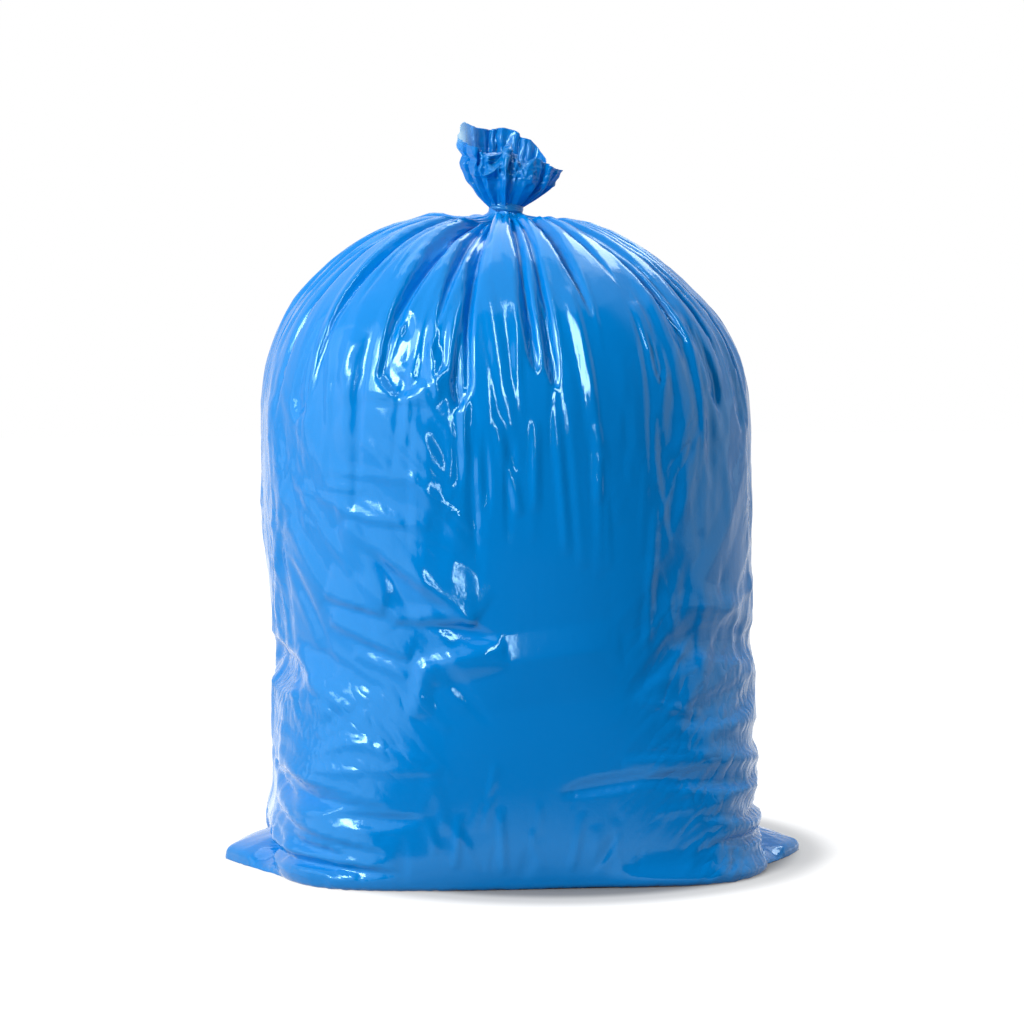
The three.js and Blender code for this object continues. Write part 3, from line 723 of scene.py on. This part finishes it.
# The loose end above the band: azimuth, radius and height of its belly, radius and height of its rim.
TUFT_SPOTS = [
    (15, 30, 14, 36, 34),
    (32, 34, 16, 40, 44),
    (46, 34, 18, 36, 58),
    (70, 30, 24, 29, 62),
    (95, 34, 28, 32, 70),
    (122, 38, 28, 42, 68),
    (150, 42, 24, 52, 75),
    (166, 47, 24, 50, 66),
    (180, 50, 24, 50, 58),
    (202, 44, 22, 42, 50),
    (222, 42, 22, 36, 44),
    (240, 44, 24, 28, 46),
    (256, 46, 24, 18, 54),
    (268, 46, 24, 16, 50),
    (284, 44, 22, 20, 40),
    (296, 44, 20, 26, 34),
    (312, 40, 18, 32, 40),
    (336, 45, 15, 46, 30),
    (354, 46, 13, 50, 28),
]
TUFT_COLUMNS = 320
TUFT_ROWS = 60
TUFT_CROWDING = 0.9
TUFT_THICKNESS = 0.0007
TUFT_FOOT = 0.626
TUFT_LEAN = 5

# Its pleats: how many round, depth, phase, and how far the phase turns from band to rim.
PLEATS = [(11, 0.0080, 0.6, 0.8), (23, 0.0030, 1.1, -1.2)]
PLEAT_ONSET = 0.6
PLEAT_SHARPNESS = 0.96
FINE_PLEATS = (31, 0.0008, 0.2)
PLEAT_FADES = (0.75, 0.4)  # share of the depth that is lost at the rim, elsewhere and at the front
PLEAT_FADE_START = 0.3
PLEAT_FADE_LENGTH = 0.5
PLEAT_FRONT = 262
PLEAT_FRONT_SPREAD = 80

# Waves that make it uneven: how many round, size in radians, phase.
PLEAT_WARPS = [(3, 0.16, 1), (5, 0.10, 2)]
TUFT_TWISTS = [(7, 0.10, 2), (13, 0.06, 0)]

# The notch in its left edge.
NOTCH_DEPTH = 0.005
NOTCH_AZIMUTH = 186
NOTCH_SPREAD = 30
NOTCH_PLACE = 0.76
NOTCH_LENGTH = 0.10

# Its crumple: depth, cells up and round, seed. The first two are sharp and lie at the front.
CRUMPLES = [(0.0030, (5, 30), 8), (0.0015, (11, 64), 6)]
CRUMPLE_SHARPNESS = 2.5
CRUMPLE_LEAST = 0.15
CRUMPLE_AZIMUTH = 252
CRUMPLE_SPREAD = 62
CRUMPLE_START = 0.35
CRUMPLE_RISE = 0.3
WAVES = (0.0010, (8, 46), 21)
WAVES_START = 0.1

# How it settles.
TUFT_SLACK = 0.02
TUFT_SLACK_RISE = 0.3
TUFT_HELD_ROWS = 4
TUFT_ROUNDS = 60
TUFT_STIFFNESS = 0.01
TUFT_PLAY = 0.004


def pleat_wave(warp, count, phase):
    """A wave from -1 to 1 with nearly straight sides."""
    return 2 / math.pi * np.arcsin(PLEAT_SHARPNESS * np.sin(count * warp + phase))


def tuft_cup(azimuth, share):
    """The loose end before its crumple: pleats rise from the band and open into a ruffled cup."""
    turn = np.radians(azimuth)
    spots = np.array(TUFT_SPOTS)
    belly, belly_up, rim, rim_up = resample(MM * spots[:, 1:].T, spots[:, 0], azimuth)
    lift = TIE_MIDDLE + TIE_HEIGHT / 2 - TUFT_FOOT
    foot_weight, belly_weight, rim_weight = (1 - share) ** 2, 2 * share * (1 - share), share**2
    radius = NECK_RADIUS * foot_weight + belly * belly_weight + rim * rim_weight
    height = TUFT_FOOT + (belly_up + lift) * belly_weight + (rim_up + lift) * rim_weight
    warp = turn + sum(size * np.sin(count * turn + phase) for count, size, phase in PLEAT_WARPS)
    pleats = sum(
        depth * share**PLEAT_ONSET * pleat_wave(warp, count, phase + turning * share)
        for count, depth, phase, turning in PLEATS
    )
    fade = mix(*PLEAT_FADES, near(azimuth, PLEAT_FRONT, PLEAT_FRONT_SPREAD))
    radius = radius + pleats * (1 - fade * smooth((share - PLEAT_FADE_START) / PLEAT_FADE_LENGTH))
    count, depth, phase = FINE_PLEATS
    radius += depth * pleat_wave(warp, count, phase)
    notch = near(azimuth, NOTCH_AZIMUTH, NOTCH_SPREAD) * hat(share - NOTCH_PLACE, NOTCH_LENGTH)
    radius -= NOTCH_DEPTH * notch
    twist = turn + share * sum(size * np.sin(count * warp + phase) for count, size, phase in TUFT_TWISTS)
    lean = math.tan(math.radians(TUFT_LEAN)) * (height - TUFT_FOOT)
    return np.stack([NECK_SHIFT + radius * np.cos(twist) + lean, radius * np.sin(twist), height])


def tuft_push(azimuth, share):
    shape = (TUFT_ROWS, TUFT_COLUMNS)
    crumple = np.zeros(shape)
    for depth, cells, seed in CRUMPLES:
        crumple += depth * (1 - CRUMPLE_SHARPNESS * np.abs(scatter(shape, cells, seed)))
    front = mix(CRUMPLE_LEAST, 1.0, near(azimuth, CRUMPLE_AZIMUTH, CRUMPLE_SPREAD))
    depth, cells, seed = WAVES
    waves = depth * scatter(shape, cells, seed) * smooth((share - WAVES_START) / CRUMPLE_RISE)
    return crumple * front * smooth((share - CRUMPLE_START) / CRUMPLE_RISE) + waves


def tuft_points():
    azimuth = np.arange(TUFT_COLUMNS) * 360 / TUFT_COLUMNS
    share = np.linspace(0, 1, TUFT_ROWS)[:, None] ** TUFT_CROWDING
    cup = tuft_cup(azimuth, share)
    outward = normals(cup)
    push = tuft_push(azimuth, share)
    slack = 1 + TUFT_SLACK * smooth(share / TUFT_SLACK_RISE) * np.ones_like(push)
    net = Net(cup + outward * push, slack, slack, np.zeros_like(slack))
    held = np.zeros(push.shape, bool)
    held[:TUFT_HELD_ROWS] = True
    rounds = TUFT_ROUNDS
    net.relax(rounds, 0.0, TUFT_STIFFNESS, cup, outward, push - TUFT_PLAY, push + TUFT_PLAY, held)
    return net.points.astype(np.float64)


def mesh_piece(name, vertices, faces):
    mesh = bpy.data.meshes.new(name)
    mesh.from_pydata(vertices.tolist(), [], faces)
    mesh.shade_smooth()
    piece = bpy.data.objects.new(name, mesh)
    bpy.context.collection.objects.link(piece)
    return piece


def grid_faces(rows, columns, closed_rows=False, closed_columns=True):
    """Four-sided faces between the points of a net, which closes on itself where that is said."""
    row_steps = np.arange(rows if closed_rows else rows - 1)
    column_steps = np.arange(columns if closed_columns else columns - 1)
    row, column = np.meshgrid(row_steps, column_steps, indexing="ij")
    after, above = (column + 1) % columns, (row + 1) % rows
    corners = [(row, column), (row, after), (above, after), (above, column)]
    return np.stack([at * columns + step for at, step in corners], axis=-1).reshape(-1, 4).tolist()


def skin_mesh(name, points):
    """A closed mesh over the rows of a net, with a fan at either end."""
    _, rows, columns = points.shape
    ends = np.stack([points[:, 0].mean(axis=1), points[:, -1].mean(axis=1)])
    vertices = np.concatenate([points.reshape(3, -1).T, ends])
    faces = grid_faces(rows, columns)
    last = (rows - 1) * columns
    low, high = rows * columns, rows * columns + 1
    for n in range(columns):
        m = (n + 1) % columns
        faces.append([low, m, n])
        faces.append([high, last + n, last + m])
    return mesh_piece(name, vertices, faces)


def shell_mesh(name, points, thickness):
    """A closed mesh over both faces of a sheet whose columns close on themselves."""
    inside = points - thickness * normals(points)
    both = np.concatenate([points, inside[:, ::-1]], axis=1)
    return mesh_piece(name, both.reshape(3, -1).T, grid_faces(*both.shape[1:], closed_rows=True))


# The band: one narrow strip wound round the neck, a little uneven.
BAND_TURNS = 3.35
BAND_STEPS = 260
BAND_SIDES = 14
BAND_START = 200
BAND_RADIUS = 0.0158
BAND_HALF_THICKNESS = 0.0014
BAND_HALF_WIDTH = 0.0023
BAND_MARGIN = 0.0022
BAND_SEED = 4
BAND_KNOTS = 24  # of its uneven course
BAND_WOBBLE = 0.0004
BAND_DRIFT = 0.0005
BAND_TIP = 0.15  # share of the section at its ends
BAND_TAPER = 40
BAND_TWIST = 0.25
BAND_TWIST_RATE = 1.7
BAND_CRIMP = 0.10
BAND_CRIMPS = 3
BAND_CRIMP_TURN = 6


def wound_band():
    lean = math.tan(math.radians(NECK_TILT))
    chance = np.random.default_rng(BAND_SEED).uniform(-1, 1, BAND_KNOTS)
    along = np.linspace(0, 1, BAND_STEPS)[:, None]
    knots = np.arange(BAND_KNOTS)
    angle = along * BAND_TURNS * 2 * math.pi + math.radians(BAND_START)
    low, high = TIE_MIDDLE - TIE_HEIGHT / 2 + BAND_MARGIN, TIE_MIDDLE + TIE_HEIGHT / 2 - BAND_MARGIN
    lift = mix(low, high, along) + BAND_DRIFT * np.interp(along * knots[-1], knots, chance[::-1])
    section = np.arange(BAND_SIDES) * 2 * math.pi / BAND_SIDES
    ends = np.minimum(1, np.minimum(along, 1 - along) * BAND_TAPER + BAND_TIP)
    twist = BAND_TWIST * np.sin(angle * BAND_TWIST_RATE)
    size = ends * (1 + BAND_CRIMP * np.cos(BAND_CRIMPS * section + BAND_CRIMP_TURN * twist))
    radius = BAND_RADIUS + BAND_WOBBLE * np.interp(along * knots[-1], knots, chance)
    radius = radius + BAND_HALF_THICKNESS * size * np.cos(section + twist)
    upward = BAND_HALF_WIDTH * size * np.sin(section + twist)
    x, y = radius * np.cos(angle), radius * np.sin(angle)
    vertices = np.stack([NECK_SHIFT + x, y, lift + upward - lean * x], axis=-1).reshape(-1, 3)
    outward_order = (0, 3, 2, 1)
    faces = np.take(grid_faces(BAND_STEPS, BAND_SIDES), outward_order, axis=1).tolist()
    faces.append(list(range(BAND_SIDES)))
    faces.append([(BAND_STEPS - 1) * BAND_SIDES + n for n in reversed(range(BAND_SIDES))])
    return mesh_piece("tie_band", vertices, faces)


# The film's look. A scale is the number of cells in a metre along each axis.
FILM_COLOUR = (0.0, 0.2, 0.6)
SHEER_COLOUR = (0.0, 0.215, 0.62)
BAND_COLOUR = (0.01, 0.17, 0.45)
FILM_IOR = 1.5
FILM_TINT = (0.5, 0.83, 1.0)  # of its reflections
FILM_ROUGHNESS = (0.06, 0.14)  # of smooth film and of patches with ripples
PATCH_SCALE = (9, 9, 6)
PATCH_EDGES = (0.42, 0.62)
RIPPLE_SCALE = (95, 95, 26)
RIPPLE_DEPTH = 0.0006
RIPPLE_STRENGTHS = (0.10, 0.50)
CREASE_SCALE = (70, 70, 16)
CREASE_SLANT = 42
CREASE_DEPTH = 0.004
CREASE_STRENGTH = 0.8
CREASE_PATCH_SCALE = (7, 7, 5)
CREASE_PATCH_EDGES = (0.44, 0.58)
CREASE_ASIDE = (0.06, 0.15)  # distances from the middle between which the creases set in
CREASE_TOP = (0.36, 0.46)  # heights between which they run out
GRAIN_SCALE = (420, 420, 300)
GRAIN_DEPTH = 0.0002
GRAIN_STRENGTH = 0.25

# Light through the loose end: the share that is scattered, its colour, and the tint of what shows through.
SHEER_SHARE = 0.22
THROUGH_COLOUR = (0.02, 0.40, 0.85)
CLEAR_COLOUR = (0.76, 0.91, 1.0)
CLEAR_LEAST = 0.06  # how clear it is everywhere
CLEAR_MORE = 0.90  # and how much clearer at its left corner
CLEAR_START = 0.664
CLEAR_RISE = 0.035
CLEAR_AZIMUTH = 168
CLEAR_SPREAD = 50


def set_inputs(tree, node, inputs):
    """Gives each named input of a node its value, or a link from another node's socket."""
    for name, value in inputs.items():
        if isinstance(value, bpy.types.NodeSocket):
            tree.links.new(value, node.inputs[name])
        else:
            node.inputs[name].default_value = value


def add_node(tree, kind, inputs=(), **settings):
    node = tree.nodes.new(kind)
    for name, setting in settings.items():
        setattr(node, name, setting)
    set_inputs(tree, node, dict(inputs))
    return node


def combine(tree, operation, first, second):
    """Two sockets combined by a sum, product or the like."""
    return add_node(tree, "ShaderNodeMath", {0: first, 1: second}, operation=operation).outputs[0]


def ranged(tree, value, edges, results):
    """A socket's value, taken from between two edges to between two results."""
    ends = {"From Min": edges[0], "From Max": edges[1], "To Min": results[0], "To Max": results[1]}
    return add_node(tree, "ShaderNodeMapRange", {"Value": value, **ends}).outputs["Result"]


def own_place(tree):
    return add_node(tree, "ShaderNodeTexCoord").outputs["Object"]


def noise(tree, scale, detail, vector=None):
    """Noise over the object's own coordinates or another vector, stretched by a scale on each axis."""
    stretch = add_node(tree, "ShaderNodeMapping", {"Scale": scale, "Vector": vector or own_place(tree)})
    inputs = {"Scale": 1.0, "Detail": detail, "Vector": stretch.outputs["Vector"]}
    return add_node(tree, "ShaderNodeTexNoise", inputs).outputs["Fac"]


def bump(tree, height, depth, strength, normal=None):
    """The normal of a bump, which may lie over another bump's normal."""
    inputs = {"Height": height, "Distance": depth, "Strength": strength}
    if normal:
        inputs["Normal"] = normal
    return add_node(tree, "ShaderNodeBump", inputs).outputs["Normal"]


def creases(tree):
    """Crisp creases that slant down to the middle, and how strong they are: in patches, low and aside."""
    place = {0: own_place(tree)}
    folded = add_node(tree, "ShaderNodeVectorMath", place, operation="ABSOLUTE").outputs["Vector"]
    slant = {"Angle": math.radians(-CREASE_SLANT), "Vector": folded}
    turned = add_node(tree, "ShaderNodeVectorRotate", slant, rotation_type="Y_AXIS").outputs["Vector"]
    centred = combine(tree, "SUBTRACT", noise(tree, CREASE_SCALE, 1, turned), 0.5)
    crest = add_node(tree, "ShaderNodeMath", {0: centred}, operation="ABSOLUTE").outputs[0]
    axes = add_node(tree, "ShaderNodeSeparateXYZ", {0: folded}).outputs
    aside = ranged(tree, axes["X"], CREASE_ASIDE, (0, 1))
    low = ranged(tree, axes["Z"], CREASE_TOP, (1, 0))
    patches = ranged(tree, noise(tree, CREASE_PATCH_SCALE, 1), CREASE_PATCH_EDGES, (0, CREASE_STRENGTH))
    return crest, combine(tree, "MULTIPLY", patches, combine(tree, "MULTIPLY", aside, low))


def plain_material(name, colour, roughness=0.5):
    material = bpy.data.materials.new(name)
    material.use_nodes = True
    tree = material.node_tree
    set_inputs(tree, tree.nodes["Principled BSDF"], {"Base Color": (*colour, 1), "Roughness": roughness})
    return material


def film_material(name, colour):
    """Glossy film with ripples in patches, fine creases and a fine grain."""
    material = plain_material(name, colour)
    tree = material.node_tree
    patches = ranged(tree, noise(tree, PATCH_SCALE, 2), PATCH_EDGES, (0, 1))
    strength = ranged(tree, patches, (0, 1), RIPPLE_STRENGTHS)
    rippled = bump(tree, noise(tree, RIPPLE_SCALE, 3), RIPPLE_DEPTH, strength)
    crease, strength = creases(tree)
    creased = bump(tree, crease, CREASE_DEPTH, strength, rippled)
    inputs = {
        "IOR": FILM_IOR,
        "Specular Tint": (*FILM_TINT, 1),
        "Roughness": ranged(tree, patches, (0, 1), FILM_ROUGHNESS),
        "Normal": bump(tree, noise(tree, GRAIN_SCALE, 2), GRAIN_DEPTH, GRAIN_STRENGTH, creased),
    }
    set_inputs(tree, tree.nodes["Principled BSDF"], inputs)
    return material


def blend_by(tree, attribute, first, second):
    """Shows the second shader instead of the first by the share that an attribute holds."""
    share = add_node(tree, "ShaderNodeAttribute", attribute_name=attribute).outputs["Fac"]
    blend = add_node(tree, "ShaderNodeMixShader", {"Fac": share, 1: first, 2: second})
    set_inputs(tree, tree.nodes["Material Output"], {"Surface": blend.outputs[0]})


def sheer_material(name, colour):
    """Film that lets part of the light through, and that is clear where its clear attribute says so."""
    material = film_material(name, colour)
    tree = material.node_tree
    film = tree.nodes["Principled BSDF"].outputs[0]
    through = add_node(tree, "ShaderNodeBsdfTranslucent", {"Color": (*THROUGH_COLOUR, 1)}).outputs[0]
    soft = add_node(tree, "ShaderNodeMixShader", {"Fac": SHEER_SHARE, 1: film, 2: through}).outputs[0]
    clear = add_node(tree, "ShaderNodeBsdfTransparent", {"Color": (*CLEAR_COLOUR, 1)}).outputs[0]
    blend_by(tree, "clear", soft, clear)
    return material


def point_values(piece, name, values):
    """Stores a number at each point of a piece, for its material."""
    attribute = piece.data.attributes.new(name, "FLOAT", "POINT")
    attribute.data.foreach_set("value", values.astype(np.float32))


def clearness(piece):
    """How clear the loose end is at each point: most at its left corner."""
    x, y, z = np.array([vertex.co for vertex in piece.data.vertices]).T
    azimuth = np.degrees(np.arctan2(y, x - NECK_SHIFT)) % 360
    corner = smooth((z - CLEAR_START) / CLEAR_RISE) * near(azimuth, CLEAR_AZIMUTH, CLEAR_SPREAD)
    return CLEAR_LEAST + CLEAR_MORE * corner


bag = skin_mesh("bag_film", film_points())
bag.data.materials.append(film_material("blue_film", FILM_COLOUR))
tuft = shell_mesh("bag_tuft", tuft_points(), TUFT_THICKNESS)
tuft.data.materials.append(sheer_material("sheer_film", SHEER_COLOUR))
point_values(tuft, "clear", clearness(tuft))
for piece in (bag, tuft):
    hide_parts("bag")
    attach(piece, "root")
band = wound_band()
band.data.materials.append(film_material("band_film", BAND_COLOUR))
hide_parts("neck_tie")
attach(band, "root")

# The floor: white paper, drawn dark grey and made white by a glow. Painted shadow: the glow is left out next
# to the bag, with its middle shifted to the right, so the floor is dark round the bag. The glow is given as
# distance from the bag's middle and strength.
FLOOR_SIZE = 14.0
FLOOR_COLOUR = (0.24, 0.24, 0.24)
FLOOR_ROUGHNESS = 0.9
FLOOR_SPECULAR = 0.1
PAINTED_SHADOW_SHIFT = (-0.04, 0.0, 0.0)
FLOOR_GLOW_AND_PAINTED_SHADOW = [(0.200, 0.0), (0.222, 0.04), (0.25, 0.42), (0.29, 0.82), (0.40, 1.0)]


def seen_rays(tree):
    """A socket that is 1 for camera, glossy and transmission rays."""
    path = add_node(tree, "ShaderNodeLightPath").outputs
    first = combine(tree, "MAXIMUM", path["Is Camera Ray"], path["Is Glossy Ray"])
    return combine(tree, "MAXIMUM", first, path["Is Transmission Ray"])


def floor_material():
    """White paper that brightens away from the bag until it meets the white background; next to the bag the
    glow is left out, which paints a shadow round it.
    """
    material = plain_material("pale_floor_painted_shadow", FLOOR_COLOUR, FLOOR_ROUGHNESS)
    tree = material.node_tree
    # Painted shadow: the glow's middle is shifted to the right, and the glow is 0 next to the bag and rises
    # outwards, so the floor is dark round the bag.
    shifted = add_node(tree, "ShaderNodeMapping", {"Location": PAINTED_SHADOW_SHIFT, "Vector": own_place(tree)})
    away = add_node(tree, "ShaderNodeVectorMath", {0: shifted.outputs["Vector"]}, operation="LENGTH")
    glow_and_painted_shadow = add_node(tree, "ShaderNodeValToRGB", {"Fac": away.outputs["Value"]})
    ramp = glow_and_painted_shadow.color_ramp
    ramp.interpolation = "EASE"
    for stop, (reach, strength) in zip(tuple(ramp.elements), (FLOOR_GLOW_AND_PAINTED_SHADOW[0], FLOOR_GLOW_AND_PAINTED_SHADOW[-1])):
        stop.position = reach
        stop.color = (strength, strength, strength, 1)
    for reach, strength in FLOOR_GLOW_AND_PAINTED_SHADOW[1:-1]:
        ramp.elements.new(reach).color = (strength, strength, strength, 1)
    inputs = {
        "Specular IOR Level": FLOOR_SPECULAR,
        "Emission Color": (1, 1, 1, 1),
        "Emission Strength": combine(tree, "MULTIPLY", glow_and_painted_shadow.outputs["Color"], seen_rays(tree)),
    }
    set_inputs(tree, tree.nodes["Principled BSDF"], inputs)
    return material


bpy.ops.mesh.primitive_plane_add(size=FLOOR_SIZE)
floor = bpy.context.object
floor.name = "floor"
floor.data.materials.append(floor_material())

scene = bpy.context.scene
scene.view_settings.view_transform = "Standard"

VIEW_AZIMUTH = -6.5
CAMERA_DISTANCE = 3.0
CAMERA_HEIGHT = 0.58
LOOK_AT = (0.0015, 0.0, 0.332)
LENS = 108.6


def aim(item, place, target):
    item.location = place
    item.rotation_euler = (Vector(target) - Vector(place)).to_track_quat("-Z", "Y").to_euler()


turn = math.radians(VIEW_AZIMUTH)
camera = bpy.data.objects.new("camera", bpy.data.cameras.new("camera"))
camera.data.lens = LENS
bpy.context.collection.objects.link(camera)
aim(camera, (CAMERA_DISTANCE * math.sin(turn), -CAMERA_DISTANCE * math.cos(turn), CAMERA_HEIGHT), LOOK_AT)
scene.camera = camera

# Lamps: name, place, target, size, shares of it for nested sheets, radiance, tint, rays that don't see it.
WHITE = (1.0, 1.0, 1.0)
COOL = (0.72, 0.90, 1.0)
LAMPS = [
    ("key", (-2.0, -1.05, 1.0), (0, 0, 0.35), (3.6, 2.3), (1.0, 0.85, 0.70), 1.3, WHITE, None),
    ("overhead", (0.25, 0.75, 2.4), (0, 0.1, 0.5), (2.1, 2.0), (1.0, 0.8), 1.85, WHITE, None),
    ("panel", (1.1, 1.0, 2.4), (0.1, 0, 0.5), (1.0, 1.0), (1.0,), 6.0, WHITE, None),
    ("side", (2.4, -0.34, 0.9), (0, 0, 0.35), (2.5, 1.7), (1.0, 0.85, 0.70), 0.62, COOL, None),
    ("glint_left", (-1.62, -1.58, 1.62), (0, 0, 0.5), (0.5, 0.7), (1.0,), 31.0, WHITE, None),
    ("fill_left", (-1.76, -1.44, 1.40), (0, 0, 0.4), (0.5, 0.7), (1.0,), 9.0, WHITE, "glossy"),
    ("haze_left", (-1.76, -1.44, 1.55), (0, 0, 0.5), (1.1, 0.95), (1.0,), 7.5, WHITE, "diffuse"),
    ("glint_front", (-0.04, -2.34, 1.80), (0, 0, 0.45), (0.20, 2.1), (1.0,), 27.0, WHITE, "diffuse"),
    ("glint_front", (-0.04, -2.34, 1.80), (0, 0, 0.45), (0.09, 3.4), (1.0,), 27.0, WHITE, "diffuse"),
]


def softbox(name, place, target, width, height, radiance):
    lamp = bpy.data.lights.new(name, "AREA")
    lamp.shape = "RECTANGLE"
    lamp.size = width
    lamp.size_y = height
    lamp.energy = radiance * math.pi * width * height
    item = bpy.data.objects.new(name, lamp)
    bpy.context.collection.objects.link(item)
    aim(item, place, target)
    return item


for name, place, target, size, shares, radiance, tint, unseen in LAMPS:
    for share in shares:
        lamp = softbox(name, place, target, size[0] * share, size[1] * share, radiance)
        lamp.data.color = tint
        if unseen:
            setattr(lamp, "visible_" + unseen, False)

# A dark cloth at the front and right, seen in reflections only, as the unlit side of a studio.
FLAG_COVER = [(232, 0), (246, 1), (326, 1), (340, 0.25), (425, 0.25), (450, 0)]
FLAG_DISTANCE = 3.4
FLAG_BOTTOM = 0.004
FLAG_TOP = 5.5
FLAG_START = 0.42
FLAG_FULL = 0.70
FLAG_STEPS = 48
FLAG_COLOUR = (0.02, 0.02, 0.02)


def flag_material():
    """Dark cloth that fades to nothing where its cover attribute falls to 0."""
    material = plain_material("dark_cloth", FLAG_COLOUR, 1.0)
    tree = material.node_tree
    gap = add_node(tree, "ShaderNodeBsdfTransparent").outputs[0]
    blend_by(tree, "cover", gap, tree.nodes["Principled BSDF"].outputs[0])
    return material


def dark_flag():
    """The cloth: it lies on the floor round the bag and stands up further out."""
    azimuth = np.linspace(FLAG_COVER[0][0], FLAG_COVER[-1][0], FLAG_STEPS + 1)
    fade = np.interp(azimuth, *zip(*FLAG_COVER))
    lying = [(FLAG_START, FLAG_BOTTOM, 0), (FLAG_FULL, FLAG_BOTTOM, 1), (FLAG_DISTANCE, FLAG_BOTTOM, 1)]
    rows = lying + [(FLAG_DISTANCE, FLAG_TOP, 1)]
    points = np.concatenate([ring(radius, np.radians(azimuth), height).T for radius, height, _ in rows])
    piece = mesh_piece("dark_flag", points, grid_faces(len(rows), FLAG_STEPS + 1, closed_columns=False))
    point_values(piece, "cover", np.concatenate([fade * share for _, _, share in rows]))
    piece.data.materials.append(flag_material())
    for ray in ("camera", "diffuse", "transmission", "shadow"):
        setattr(piece, "visible_" + ray, False)
    return piece


flag = dark_flag()

# The background is white where it is seen, and gives less light than it shows.
BACKGROUND_LIGHT = 0.29

world = bpy.data.worlds.new("studio")
scene.world = world
world.use_nodes = True
sky = world.node_tree
brightness = ranged(sky, seen_rays(sky), (0, 1), (BACKGROUND_LIGHT, 1))
set_inputs(sky, sky.nodes["Background"], {"Color": (1, 1, 1, 1), "Strength": brightness})
